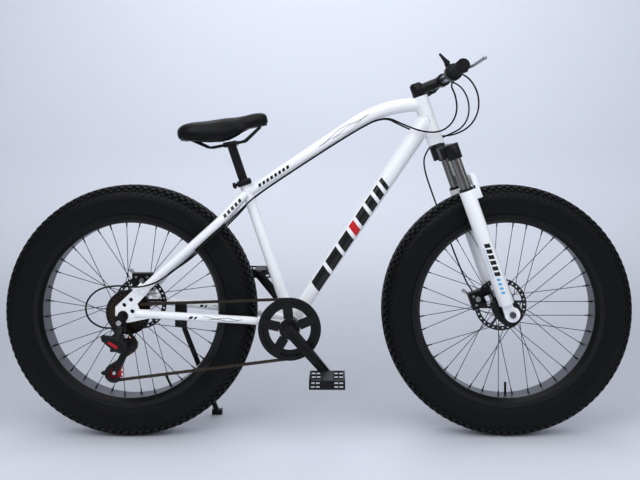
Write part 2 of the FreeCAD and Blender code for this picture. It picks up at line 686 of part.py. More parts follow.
def seat():
    """Seatpost with its clamp, collar with quick-release lever, rails, base and padded cover."""
    collar = sleeve(V(0, 0, COLLAR_TOP - COLLAR_H), V(0, 0, COLLAR_TOP), COLLAR_R, SEAT_TUBE_R)
    lip = sleeve(V(0, 0, SEAT_TUBE_LEN), V(0, 0, COLLAR_TOP), SEAT_TUBE_R, POST_R + GAP)
    ears = block(-COLLAR_R - EAR_X, -SEAT_TUBE_R - CUP_T, -EAR_Y, EAR_Y,
                 COLLAR_TOP - COLLAR_H + CUP_T, COLLAR_TOP - CUP_T)
    ears = ears.cut(rod(V(0, 0, 0), V(0, 0, COLLAR_TOP), SEAT_TUBE_R))
    middle = COLLAR_TOP - COLLAR_H / 2
    bolt_x = -COLLAR_R - EAR_X / 2
    eye_y = -EAR_Y - QR_R - GAP
    pin_half = QR_T / 2 + CUP_T
    fork_pin = rod(V(bolt_x, eye_y, middle - pin_half), V(bolt_x, eye_y, middle + pin_half), LEVER_PIN_R)
    cheeks = [block(bolt_x - CUP_T, bolt_x + CUP_T, eye_y - CUP_T, -EAR_Y, z0, z0 + CUP_T - GAP)
              for z0 in (middle - pin_half, middle + QR_T / 2 + GAP)]
    keep("seat_clamp", placed(fused(collar, lip, ears, fork_pin, *cheeks), SEATING))
    cam = rod(V(bolt_x, eye_y, middle - QR_T / 2), V(bolt_x, eye_y, middle + QR_T / 2), QR_R)
    blade = block(bolt_x, bolt_x + QR_LEN, eye_y - QR_R, eye_y - QR_R / 3, middle - QR_T / 2, middle + QR_T / 2)
    hole = rod(V(bolt_x, eye_y, 0), V(bolt_x, eye_y, 2 * middle), LEVER_PIN_R + RUN)
    keep("seat_clamp_lever", placed(fused(cam, blade).cut(hole), SEATING))

    rails = saddle_rails()
    post = placed(rod(V(0, 0, POST_LOW), V(0, 0, POST_TOP), POST_R), SEATING)
    inside = placed(rod(V(0, 0, POST_LOW), V(0, 0, POST_TOP - 2 * CUP_DEEP), POST_R - TUBE_WALL), SEATING)
    rail_z = -BASE_T - RAIL_DROP
    clamp_x = SADDLE.inverse().multVec(POST_END).x
    head = placed(block(clamp_x - CLAMP_HALF, clamp_x + CLAMP_HALF, -RAIL_Y - 2 * RAIL_R, RAIL_Y + 2 * RAIL_R,
                        rail_z - 2 * RAIL_R, rail_z + 2 * RAIL_R), SADDLE)
    channel = [placed(rod(V(-SADDLE_LEN, y, rail_z), V(SADDLE_LEN, y, rail_z), RAIL_R + SEAT), SADDLE)
               for y in (-RAIL_Y, RAIL_Y)]
    keep("seatpost", fused(post.cut(inside), head).cut(Part.makeCompound(channel)))

    pad = []
    base = []
    room = []
    for share, spread, height, skirt in PAD_STATIONS:
        half = SADDLE_NOSE + spread * (SADDLE_TAIL - SADDLE_NOSE)
        high = PAD_TAIL_H + (share + 0.5) * (PAD_NOSE_H - PAD_TAIL_H)
        pad.append(pad_section(share * SADDLE_LEN, half, high * height, skirt))
        base.append(base_section(share * BASE_LEN, half * BASE_SHARE, -SEAT, -BASE_T))
        room.append(base_section(share * (BASE_LEN + 2 * PAD_CLEAR), half * BASE_SHARE + PAD_CLEAR, 0, -PAD_DEEP))
    keep("saddle_pad", placed(largest(Part.makeLoft(pad, True).cut(Part.makeLoft(room, True))), SADDLE))
    keep("saddle_base", placed(Part.makeLoft(base, True), SADDLE), *rails)


def pad_section(x, half, high, skirt):
    """Cross-section of the pad: a skirt drawn in at its edge, widest low down, crowned on top."""
    side = [V(x, half * PAD_FOOT, -skirt)] + [V(x, half * w, high * h) for w, h in PAD_SIDE]
    points = side + [V(x, 0, high)] + [flipped(point) for point in reversed(side)]
    curve = Part.BSplineCurve()
    curve.interpolate(points)
    return Part.Wire([curve.toShape(), Part.LineSegment(points[-1], points[0]).toShape()])


def base_section(x, half, top, low):
    """Rectangular cross-section of the plastic base below the pad, or of the room round it."""
    return Part.makePolygon([V(x, -half, top), V(x, half, top), V(x, half, low), V(x, -half, low), V(x, -half, top)])


def saddle_rails():
    """Two bent rails that run from the nose, through the clamp, to the wide tail."""
    low = -BASE_T - RAIL_DROP
    top = -BASE_T - SEAT
    rails = []
    for side in (-1, 1):
        points = [V(RAIL_NOSE_X, side * RAIL_NOSE_Y, top - RAIL_SINK), V(RAIL_FLAT, side * RAIL_Y, low),
                  V(-RAIL_FLAT, side * RAIL_Y, low), V(-RAIL_TAIL_X, side * RAIL_TAIL_Y, top - RAIL_SINK)]
        below = block(-SADDLE_LEN, SADDLE_LEN, -SADDLE_LEN, SADDLE_LEN, -SADDLE_LEN, top)
        rails.append(placed(swept(route(points, RAIL_BEND), RAIL_R).common(below), SADDLE))
    return rails


def tyre_ring(inset):
    """Half outline points of the tyre from bead to tread, moved inward by a wall."""
    bead = RIM_HALF - RIM_WALL - SEAT - inset
    return (V(RIM_R - BEAD_H, bead, 0), V(RIM_R + SEAT, bead, 0), V(RIM_R + SIDE_H, TYRE_HALF - inset, 0),
            V(TYRE_R - SHOULDER_H - inset / 2, TYRE_HALF - SHOULDER_IN - inset, 0), V(TYRE_R - inset, TREAD_FLAT, 0))


def flipped(point):
    """The same point on the other side of the wheel's middle plane."""
    return V(point.x, -point.y, point.z)


def tyre():
    """Tyre carcass: beads inside the rim, round sidewalls and a flat tread."""
    edges = []
    outer = tyre_ring(0)
    inner = tyre_ring(TYRE_WALL)
    for ring in (outer, inner):
        for side in (lambda p: p, flipped):
            a, b, c, d, e = [side(p) for p in ring]
            edges += [Part.LineSegment(a, b), Part.Arc(b, c, d), Part.LineSegment(d, e)]
        edges.append(Part.LineSegment(ring[4], flipped(ring[4])))
    edges += [Part.LineSegment(outer[0], inner[0]), Part.LineSegment(flipped(outer[0]), flipped(inner[0]))]
    wire = Part.Wire(Part.sortEdges([edge.toShape() for edge in edges])[0])
    return Part.Face(wire).revolve(V(0, 0, 0), Y_AXIS, 360)


def inner_tube(valve):
    """Inflated inner tube with its valve stem through the rim."""
    middle = (RIM_R + TYRE_R - TYRE_WALL) / 2 - TUBE_DROP
    high = TYRE_R - TYRE_WALL - GAP - middle
    wide = TYRE_HALF - TYRE_WALL - GAP
    rings = []
    for wall in (0, TUBE_SKIN):
        oval = Part.Ellipse(V(middle, wide - wall, 0), V(middle + high - wall, 0, 0), V(middle, 0, 0))
        rings.append(Part.Face(Part.Wire(oval.toShape())).revolve(V(0, 0, 0), Y_AXIS, 360))
    stem = rod(polar(middle - high + TUBE_SKIN / 2, valve), polar(RIM_R - RIM_DEPTH - VALVE_OUT, valve), VALVE_R)
    return rings[0].fuse(stem).removeSplitter().cut(rings[1])


def rim(valve):
    """Wide rim channel with a valve hole."""
    bed = RIM_R - RIM_DEPTH
    slope = RIM_R - RIM_DEPTH * 0.6
    flat = RIM_HALF * 0.65
    ring = turned([(-RIM_HALF, RIM_R), (-RIM_HALF, slope), (-flat, bed), (flat, bed), (RIM_HALF, slope), (RIM_HALF, RIM_R),
                   (RIM_HALF - RIM_WALL, RIM_R), (RIM_HALF - RIM_WALL, slope + RIM_WALL / 2), (flat, bed + RIM_WALL),
                   (-flat, bed + RIM_WALL), (RIM_WALL - RIM_HALF, slope + RIM_WALL / 2), (RIM_WALL - RIM_HALF, RIM_R)])
    return ring.cut(rod(polar(bed - RIM_WALL, valve), polar(RIM_R, valve), VALVE_R + SEAT))


def spokes(flange):
    """Crossed spokes, alternately from the outer and inner face of each hub flange."""
    wires = []
    step = 360 / SPOKES
    for i in range(SPOKES):
        side = -1 if i % 2 == 0 else 1
        lead = 1 if (i // 2) % 2 == 0 else -1
        angle = (i + 0.5) * step
        off = FLANGE_T / 2 + SPOKE_R + SPOKE_PLAY + SPOKE_OFF * (1 + lead)
        hub_end = polar(FLANGE_R - 2 * SPOKE_R, angle + lead * SPOKE_CROSS, side * (flange + lead * off))
        rim_end = polar(RIM_R - RIM_DEPTH - GAP, angle, side * SPOKE_BED)
        wires.append(rod(hub_end, rim_end, SPOKE_R))
    return wires


def rotor(y, bore):
    """Brake disc: drilled band on swept arms."""
    band = sleeve(V(0, y - ROTOR_T / 2, 0), V(0, y + ROTOR_T / 2, 0), ROTOR_R, ROTOR_R - ROTOR_BAND)
    eye = sleeve(V(0, y - ROTOR_T / 2, 0), V(0, y + ROTOR_T / 2, 0), bore + ROTOR_BAND, bore)
    arms = []
    for i in range(ROTOR_ARMS):
        arm = block(bore + ROTOR_BAND / 2, ROTOR_R - ROTOR_BAND / 2, y - ROTOR_T / 2, y + ROTOR_T / 2,
                    bore - ROTOR_ARM_W, bore)
        arm.rotate(V(0, 0, 0), Y_AXIS, i * 360 / ROTOR_ARMS)
        arms.append(arm)
    holes = []
    for i in range(ROTOR_HOLES):
        at = polar(ROTOR_R - ROTOR_BAND / 2, i * 360 / ROTOR_HOLES, y - ROTOR_T)
        holes.append(rod(at, at + V(0, 2 * ROTOR_T, 0), ROTOR_BAND / 5))
    return fused(band, eye, *arms).cut(Part.makeCompound(holes))


def wheels():
    """Both wheels, each turned about its own axle."""
    for name, axle, valve, flange, disc_y, end in (
            ("front", FRONT_AXLE, FRONT_VALVE, FRONT_FLANGE, FRONT_ROTOR_Y, FRONT_DROPOUT_Y),
            ("rear", REAR_AXLE, REAR_VALVE, REAR_FLANGE, REAR_ROTOR_Y, DROPOUT_Y)):
        at = PLACE(axle, ROT())
        keep(name + "_tire", placed(tyre(), at))
        keep(name + "_inner_tube", placed(inner_tube(valve), at))
        keep(name + "_rim", placed(rim(valve), at))
        keep(name + "_spokes", *[placed(s, at) for s in spokes(flange)])
        keep(name + "_rotor", placed(rotor(disc_y, HUB_END_R + SEAT), at))
        shell = fused(across(0, 0, -flange, flange, HUB_R),
                      across(0, 0, -flange - FLANGE_T / 2, -flange + FLANGE_T / 2, FLANGE_R),
                      across(0, 0, flange - FLANGE_T / 2, flange + FLANGE_T / 2, FLANGE_R),
                      across(0, 0, flange, disc_y - ROTOR_T / 2 - SEAT, DISC_BOSS_R),
                      across(0, 0, -end + GAP, end - GAP, HUB_END_R))
        bore = across(0, 0, -end, end, AXLE_R + RUN)
        if name == "rear":
            guard_y = PROTECTOR_Y
            disc = across(0, 0, guard_y - GUARD_T, guard_y, PROTECTOR_R).cut(across(0, 0, -end, 0, HUB_END_R + SEAT))
            keep("rear_hub", placed(shell.cut(bore), at), placed(disc, at))
        else:
            keep("front_hub", placed(shell.cut(bore), at))
    face = DROPOUT_Y + DROPOUT_T
    rear = across(0, 0, -face - HANGER_T - NUT_T - CUP_T, face + NUT_T + CUP_T, AXLE_R)
    right_nut = across(0, 0, -face - HANGER_T - NUT_T, -face - HANGER_T, NUT_R)
    left_nut = across(0, 0, face, face + NUT_T, NUT_R)
    keep("rear_axle", placed(fused(rear, right_nut, left_nut), PLACE(REAR_AXLE, ROT())))


def pitch_radius(teeth):
    """Radius of the circle that the chain's pins follow."""
    return PITCH / (2 * math.sin(math.pi / teeth))


def sprocket(teeth, thick, bore, phase):
    """Toothed disc about the Y axis with a root for a chain roller at the phase angle."""
    radius = pitch_radius(teeth)
    disc = across(0, 0, -thick / 2, thick / 2, radius + TOOTH).cut(across(0, 0, -thick, thick, bore))
    roots = []
    for i in range(teeth):
        at = polar(radius, phase + i * 360 / teeth, -thick)
        roots.append(rod(at, at + V(0, 2 * thick, 0), ROLLER_R + ROOT_PLAY))
        mouth = polar(radius + TOOTH, phase + i * 360 / teeth, -thick)
        roots.append(rod(mouth, mouth + V(0, 2 * thick, 0), ROLLER_R + ROOT_MOUTH))
    return disc.cut(Part.makeCompound(roots))


def chain_line():
    """Pin places round chainring, cog, guide and tension pulleys, with each wheel's root phase."""
    wheels_ = ((BB, RING_TEETH, 1), (REAR_AXLE, COGS[0], 1),
               (REAR_AXLE + V(GUIDE_X, 0, GUIDE_Z), PULLEY_TEETH, -1),
               (REAR_AXLE + V(TENSION_X, 0, TENSION_Z), PULLEY_TEETH, 1))
    heads = []
    for (c1, n1, s1), (c2, n2, s2) in zip(wheels_, wheels_[1:] + wheels_[:1]):
        gap = c2 - c1
        rise = s2 * pitch_radius(n2) - s1 * pitch_radius(n1)
        heads.append(math.degrees(math.atan2(gap.z, gap.x) - math.asin(rise / gap.Length)))
    pins = []
    phases = []
    for k, (centre, teeth, sense) in enumerate(wheels_):
        after, teeth_after, sense_after = wheels_[(k + 1) % len(wheels_)]
        radius = pitch_radius(teeth)
        first = heads[k - 1] - sense * 90
        sweep = (sense * (heads[k] - heads[k - 1])) % 360
        shift = wrap_angle(pins[-1], centre, teeth, sense, first) if pins else 0.0
        count = int((sweep - shift) * teeth / 360)
        phases.append(first + sense * shift)
        pins += [centre + polar(radius, phases[-1] + sense * i * 360 / teeth) for i in range(count + 1)]
        leave = centre + polar(radius, first + sense * sweep)
        arrive = after + polar(pitch_radius(teeth_after), heads[k] - sense_after * 90)
        pins += free_run(pins, leave, arrive, k == len(wheels_) - 1)
    return [p + V(0, CHAIN_Y, 0) for p in pins], phases


def wrap_angle(last, centre, teeth, sense, first):
    """Angle past the tangent point of the first pin on a wheel, one pitch after the last free pin."""
    low, high = 0.0, 360 / teeth
    for _ in range(40):
        middle = (low + high) / 2
        reach = centre + polar(pitch_radius(teeth), first + sense * middle) - last
        if reach.Length < PITCH:
            low = middle
        else:
            high = middle
    return low


def free_run(pins, leave, arrive, closing):
    """Pins on the straight run between two wheels; the closing run shares out the last slack."""
    along = (arrive - leave).normalize()
    offset = leave - pins[-1]
    lead = math.sqrt(offset.dot(along) ** 2 - offset.dot(offset) + PITCH ** 2) - offset.dot(along)
    start = leave + along * lead
    length = (arrive - start).dot(along)
    if not closing:
        return [start + along * (i * PITCH) for i in range(math.floor(length / PITCH) + 1)]
    count = round(length / PITCH)
    if (len(pins) + count) % 2:
        count += 1 if length / PITCH > count else -1
    return [start + along * (length * i / count) for i in range(count)]


def chain(pins):
    """Roller chain: rollers at the pins, inner and outer plate pairs in turn."""
    solids = []
    roller = across(0, 0, -ROLLER_W, ROLLER_W, ROLLER_R)
    for i, pin in enumerate(pins):
        along = pins[(i + 1) % len(pins)] - pin
        turn = PLACE(pin, ROT(Y_AXIS, -math.degrees(math.atan2(along.z, along.x))))
        solids.append(placed(roller, PLACE(pin, ROT())))
        low = ROLLER_W + PLATE_GAP + (i % 2) * (PLATE_T + PLATE_GAP)
        for y in (low, -low - PLATE_T):
            solids.append(placed(link_plate(y), turn))
    keep("chain", *solids)


def link_plate(y):
    """Chain plate with round ends, lying along X from the first pin."""
    a, b = V(0, y, PLATE_R), V(PITCH, y, PLATE_R)
    c, d = V(PITCH, y, -PLATE_R), V(0, y, -PLATE_R)
    wire = Part.Wire([Part.LineSegment(a, b).toShape(), Part.Arc(b, V(PITCH + PLATE_R, y, 0), c).toShape(),
                      Part.LineSegment(c, d).toShape(), Part.Arc(d, V(-PLATE_R, y, 0), a).toShape()])
    return Part.Face(wire).extrude(V(0, PLATE_T, 0))


def drive(phases):
    """Cranks, chainring with its guard, pedals and the freewheel cogs."""
    at_bb = PLACE(BB, ROT())
    turn = PLACE(BB, ROT(Y_AXIS, -CRANK_ANGLE))
    back = PLACE(BB, ROT(Y_AXIS, 180 - CRANK_ANGLE))
    bore = across(0, 0, -2 * CRANK_Y, 2 * CRANK_Y, SPINDLE_R)
    arm = crank_arm()
    spider_y = CHAIN_Y - SPROCKET_T / 2 - SPIDER_T
    boss = across(0, 0, -CRANK_Y - GAP, spider_y + SPIDER_T, CRANK_R0)
    arms = []
    for i in range(SPIDER_ARMS):
        blade = block(0, SPIDER_R, spider_y, spider_y + SPIDER_T, -SPIDER_W / 2, SPIDER_W / 2)
        blade.rotate(V(0, 0, 0), Y_AXIS, i * 360 / SPIDER_ARMS)
        arms.append(blade)
    keep("crank_right", placed(fused(arm, boss, *arms).cut(bore), turn))
    spindle = across(0, 0, -CRANK_Y - CRANK_T, CRANK_Y + CRANK_T, SPINDLE_R)
    keep("crank_left", placed(mirrored(arm).cut(bore), back), placed(spindle, at_bb))

    ring = sprocket(RING_TEETH, SPROCKET_T, RING_BORE, phases[0])
    ring.translate(V(0, CHAIN_Y, 0))
    guard = sleeve(V(0, spider_y - GUARD_T, 0), V(0, spider_y, 0), GUARD_R, GUARD_R - GUARD_BAND)
    hub = sleeve(V(0, spider_y - GUARD_T, 0), V(0, spider_y, 0), GUARD_HUB_R, CRANK_R0 + GAP)
    webs = []
    for i in range(SPIDER_ARMS):
        web = block(GUARD_HUB_R - GAP, GUARD_R - GUARD_BAND / 2, spider_y - GUARD_T, spider_y, -SPIDER_W, SPIDER_W)
        web.rotate(V(0, 0, 0), Y_AXIS, i * 360 / SPIDER_ARMS - CRANK_ANGLE)
        webs.append(web)
    keep("chainring", placed(ring, at_bb), placed(fused(guard, hub, *webs), at_bb))

    body = pedal()
    end = CRANK_LEN
    tip = turn.multVec(V(end, 0, 0))
    keep("right_pedal", placed(body, PLACE(tip, ROT())))
    tip = back.multVec(V(end, 0, 0))
    keep("left_pedal", placed(mirrored(body), PLACE(tip, ROT())))

    carrier = across(0, 0, CHAIN_Y - CARRIER_END, PROTECTOR_Y - GUARD_T - GAP, CARRIER_R)
    cogs = []
    for i, teeth in enumerate(COGS):
        cog = sprocket(teeth, SPROCKET_T, HUB_END_R, phases[1])
        cog.translate(V(0, CHAIN_Y + i * COG_STEP, 0))
        cogs.append(cog)
    cluster = fused(carrier, *cogs).cut(across(0, 0, -2 * CRANK_Y, 0, HUB_END_R + RUN))
    keep("freewheel_cogs", placed(cluster, PLACE(REAR_AXLE, ROT())))


def crank_arm():
    """Right crank arm along X with the pedal's axle at its end."""
    y0, y1 = -CRANK_Y - CRANK_T, -CRANK_Y
    bar = outline([(0, CRANK_R0), (CRANK_LEN, CRANK_R1), (CRANK_LEN, -CRANK_R1), (0, -CRANK_R0)], y0, y1)
    axle = across(CRANK_LEN, 0, y0 - PEDAL_W - 2 * GAP, y1, PEDAL_AXLE_R)
    return fused(bar, across(0, 0, y0, y1, CRANK_R0), across(CRANK_LEN, 0, y0, y1, CRANK_R1), axle)


def pedal():
    """Right pedal: a spine on the axle inside a cage with rows of holes."""
    y1 = -CRANK_Y - CRANK_T - 2 * GAP
    y0 = y1 - PEDAL_W
    shell = block(-PEDAL_LEN / 2, PEDAL_LEN / 2, y0, y1, -PEDAL_H / 2, PEDAL_H / 2)
    spine = PEDAL_H / 2 + PEDAL_RAIL
    for side in (-1, 1):
        x0, x1 = sorted((side * spine, side * (PEDAL_LEN / 2 - PEDAL_RAIL)))
        shell = shell.cut(block(x0, x1, y0 + PEDAL_RAIL, y1 - PEDAL_RAIL, -PEDAL_H, PEDAL_H))
    holes = []
    for i in range(PEDAL_HOLES):
        y = y0 + PEDAL_W * (i + 0.5) / PEDAL_HOLES
        holes.append(rod(V(-PEDAL_LEN, y, 0), V(-spine, y, 0), PEDAL_RAIL))
        holes.append(rod(V(spine, y, 0), V(PEDAL_LEN, y, 0), PEDAL_RAIL))
    for x in (-PEDAL_SLOT_X1, -PEDAL_SLOT_X0, PEDAL_SLOT_X0, PEDAL_SLOT_X1):
        for z in (-PEDAL_SLOT_Z, PEDAL_SLOT_Z):
            holes.append(block(x - PEDAL_SLOT_Z, x + PEDAL_SLOT_Z, y0, y1, z - PEDAL_SLOT_H, z + PEDAL_SLOT_H))
    holes.append(across(0, 0, y0, y1, PEDAL_AXLE_R + RUN))
    return shell.cut(Part.makeCompound(holes))


def derailleur(phases):
    """Rear derailleur: fixed knuckle, two parallel links, moving knuckle, cage and pulleys."""
    at = PLACE(REAR_AXLE, ROT())
    left, right = LINK_X - LINK_HALF, LINK_X + LINK_HALF
    lean = math.radians(LINK_START)
    link = V(0, -LINK_LEN * math.sin(lean), -LINK_LEN * math.cos(lean))
    outer_up = V(0, LINK_UP_Y, LINK_UP_Z)
    inner_up = outer_up + V(0, LINK_SPREAD_Y, LINK_SPREAD_Z)
    plate_y = -DROPOUT_Y - DROPOUT_T

    def lugs(a, b):
        """Two cheeks outside the links, with a pin at each pivot."""
        y0, y1 = min(a.y, b.y) - BOSS_R, max(a.y, b.y) + BOSS_R
        z0, z1 = min(a.z, b.z) - BOSS_R, max(a.z, b.z) + BOSS_R
        cheeks = [block(left - GAP - LUG_T, left - GAP, y0, y1, z0, z1),
                  block(right + GAP, right + GAP + LUG_T, y0, y1, z0, z1)]
        pins = [rod(V(left - GAP - LUG_T, p.y, p.z), V(right + GAP + LUG_T, p.y, p.z), LINK_PIN_R) for p in (a, b)]
        return cheeks + pins

    def bar(top, play):
        """One link between its two pivots."""
        low = top + link
        ends = [rod(V(left, p.y, p.z), V(right, p.y, p.z), BOSS_R) for p in (top, low)]
        web = block(left, right, -LINK_WEB / 2, LINK_WEB / 2, -LINK_LEN, 0)
        web.rotate(V(0, 0, 0), X_AXIS, -LINK_START)
        web.translate(V(0, top.y, top.z))
        holes = [rod(V(left, p.y, p.z), V(right, p.y, p.z), LINK_PIN_R + gap) for p, gap in ((top, RUN), (low, play))]
        return fused(web, *ends).cut(Part.makeCompound(holes))

    low_z = outer_up.z + BOSS_R + GAP
    ears = [block(x0, x0 + LUG_T, plate_y - HANGER_T, plate_y, inner_up.z, low_z + LUG_T)
            for x0 in (left - GAP - LUG_T, right + GAP)]
    claw = fused(across(0, 0, plate_y - HANGER_T, plate_y, HANGER_R), *ears,
                 block(left - GAP - LUG_T, right + GAP + LUG_T, plate_y - HANGER_T, plate_y, low_z, 0))
    claw = claw.cut(across(0, 0, -2 * CRANK_Y, 0, AXLE_R + SEAT))
    stop_x = left - GAP - LUG_T
    stop = rod(V(stop_x, outer_up.y, outer_up.z), V(stop_x - BOSS_R, outer_up.y, outer_up.z), BOSS_R)
    keep("derailleur_hanger", placed(fused(claw, stop, *lugs(outer_up, inner_up)), at))
    keep("derailleur_outer_link", placed(bar(outer_up, RUN), at))
    keep("derailleur_inner_link", placed(bar(inner_up, 3 * RUN), at))

    pivot = (CAGE_PIVOT_X, CAGE_PIVOT_Z)
    body_top = (inner_up + link).z - BOSS_R
    inner_face = CHAIN_Y - CAGE_HALF - CAGE_PLATE - GAP
    body_low = CAGE_PIVOT_Z - KNUCKLE_R
    out_y, in_y = (outer_up + link).y - BOSS_R, (inner_up + link).y + BOSS_R
    body = block(stop_x, CAGE_PIVOT_X + KNUCKLE_R, out_y, inner_face, body_low, body_top - GAP)
    tie = [block(x0, x0 + LUG_T, out_y, in_y, body_low, body_top + BOSS_R) for x0 in (stop_x, right + GAP)]
    knuckle = fused(body, *tie, *lugs(outer_up + link, inner_up + link))
    pin_end = inner_face - KNUCKLE_PIN
    knuckle = knuckle.cut(across(*pivot, pin_end - GAP, 0, SPIGOT_R + RUN))
    keep("derailleur_knuckle", placed(knuckle, at))

    guide = V(GUIDE_X, 0, GUIDE_Z)
    tension = V(TENSION_X, 0, TENSION_Z)
    cover = across(guide.x, guide.z, CHAIN_Y - CAGE_HALF - CAGE_PLATE, CHAIN_Y - CAGE_HALF, CAGE_COVER_R)
    sides = [cage_plate(guide, tension, y0) for y0 in (CHAIN_Y - CAGE_HALF - CAGE_PLATE, CHAIN_Y + CAGE_HALF)]
    bolts = [across(p.x, p.z, CHAIN_Y - CAGE_HALF - CAGE_PLATE, CHAIN_Y + CAGE_HALF + CAGE_PLATE, PULLEY_BOLT_R)
             for p in (guide, tension)]
    spigot = across(*pivot, pin_end, CHAIN_Y - CAGE_HALF, SPIGOT_R)
    keep("derailleur_cage", placed(fused(cover, *sides, spigot, *bolts), at))
    for name, centre, phase in (("guide_pulley", guide, phases[2]), ("tension_pulley", tension, phases[3])):
        wheel = sprocket(PULLEY_TEETH, PULLEY_T, LINK_PIN_R, phase)
        wheel = wheel.fuse(across(0, 0, -PULLEY_HUB_T / 2, PULLEY_HUB_T / 2, PULLEY_HUB_R))
        wheel = wheel.cut(across(0, 0, -PULLEY_HUB_T, PULLEY_HUB_T, PULLEY_BOLT_R + RUN))
        wheel.translate(centre + V(0, CHAIN_Y, 0))
        keep(name, placed(wheel, at))


def cage_plate(guide, tension, y0):
    """Flat cage side that covers the middle of both pulleys."""
    along = tension - guide
    strip = block(0, along.Length, y0, y0 + CAGE_PLATE, -CAGE_W / 2, CAGE_W / 2)
    strip.rotate(V(0, 0, 0), Y_AXIS, -math.degrees(math.atan2(along.z, along.x)))
    strip.translate(guide)
    ends = [across(p.x, p.z, y0, y0 + CAGE_PLATE, CAGE_W / 2 + GAP) for p in (guide, tension)]
    eye = across(CAGE_PIVOT_X, CAGE_PIVOT_Z, y0, y0 + CAGE_PLATE, CAGE_W / 2)
    return fused(strip, eye, *ends)


def caliper(centre, box, mount, pin, tip, disc_y, outer_y):
    """Mechanical disc caliper and its arm; places are side-view points about the axle."""
    x0, x1, z0, z1 = box
    body = block(x0, x1, disc_y - CALIPER_IN, outer_y, z0, z1)
    mx0, mx1, my1, mz0, mz1 = mount
    body = body.fuse(block(mx0, mx1, disc_y + CALIPER_SLOT + GAP, my1, mz0, mz1))
    body = body.cut(across(0, 0, disc_y - CALIPER_SLOT, disc_y + CALIPER_SLOT, ROTOR_R + CALIPER_SLOT))
    body = body.fuse(across(*pin, outer_y, outer_y + ARM_T + 2 * GAP, ARM_PIN_R)).removeSplitter()
    y0, y1 = outer_y + GAP, outer_y + GAP + ARM_T
    hub = across(*pin, y0, y1, ARM_R)
    start, end = V(pin[0], 0, pin[1]), V(tip[0], 0, tip[1])
    blade = block(0, (end - start).Length, y0, y1, -ARM_R / 2, ARM_R / 2)
    blade.rotate(V(0, 0, 0), Y_AXIS, -math.degrees(math.atan2(end.z - start.z, end.x - start.x)))
    blade.translate(start)
    arm = fused(hub, blade, across(*tip, y0, y1, ARM_TIP_R)).cut(across(*pin, y0, y1, ARM_PIN_R + RUN))
    return placed(body, centre), placed(arm, centre)


def brakes():
    """Disc calipers: the rear one on the left dropout, the front one behind the left fork leg."""
    x0, x1, z0, z1 = REAR_CALIPER_MOUNT
    body, arm = caliper(PLACE(REAR_AXLE, ROT()), REAR_CALIPER_BOX, (x0, x1, DROPOUT_Y, z0, z1),
                        *REAR_ARM, REAR_ROTOR_Y, DROPOUT_Y - 2 * SEAL_STEP)
    keep("rear_caliper", body)
    keep("rear_caliper_arm", arm)
    front = STEER.multiply(PLACE(V(FORK_OFFSET, 0, -AXLE_DOWN), ROT()))
    leg_back = LEG_X - FORK_OFFSET - LEG_R
    x0, z0, z1 = FRONT_CALIPER_MOUNT
    body, arm = caliper(front, FRONT_CALIPER_BOX, (x0, leg_back + STANCHION_R, LEG_Y, z0, z1),
                        *FRONT_ARM, FRONT_ROTOR_Y, FRONT_ROTOR_Y + CALIPER_IN)
    leg = placed(rod(V(LEG_X, LEG_Y, -LEG_END), V(LEG_X, LEG_Y, -LOWER_TOP), LEG_R), STEER)
    keep("front_caliper", body.cut(leg))
    keep("front_caliper_arm", arm)


def kickstand(chainstay):
    """Stand on the left chainstay: a cradle with a pin, and a leg that folds back."""
    x = REAR_AXLE.x + STAND_X
    stay_end = REAR_AXLE + V(CHAINSTAY_END_X, 0, CHAINSTAY_END_Z)
    slope = (CHAINSTAY_KNEE_Z - stay_end.z) / (BB_X - CHAINSTAY_KNEE_X - stay_end.x)
    stay_z = stay_end.z + slope * (x - stay_end.x)
    pivot_z = stay_z - STAND_PIVOT_DROP
    plate = block(x - STAND_HALF, x + STAND_HALF, STAND_Y - STAND_PLATE, STAND_Y, pivot_z - STAND_HUB, stay_z)
    top = block(x - STAND_HALF, x + STAND_HALF, STAND_Y - STAND_PLATE, STAND_Y + STAND_PLATE,
                stay_z - CHAINSTAY_R - CUP_T, stay_z)
    width = 2 * STAND_R
    pin = across(x, pivot_z, STAND_Y, STAND_Y + width + CUP_T, CUP_T)
    solid_stay = mirrored(chainstay)
    keep("kickstand_bracket", largest(fused(plate, top).cut(solid_stay).fuse(pin)))
    start = V(x, STAND_Y + GAP + STAND_R, pivot_z)
    foot = V(REAR_AXLE.x + STAND_FOOT_X, STAND_FOOT_Y, STAND_R + GAP)
    hub = across(x, pivot_z, STAND_Y + GAP, STAND_Y + GAP + width, STAND_HUB)
    along = (foot - start).normalize()
    neck = rod(start, start + along * 3 * STAND_HUB, STAND_NECK)
    shank = rod(start + along * 2 * STAND_HUB, foot, STAND_R)
    shoe = block(foot.x - width, foot.x + width, foot.y - STAND_R, foot.y + STAND_R, GAP, foot.z + STAND_R)
    hole = across(x, pivot_z, 0, 2 * STAND_FOOT_Y, CUP_T + RUN)
    keep("kickstand_leg", fused(hub, neck, shank, shoe).cut(hole))


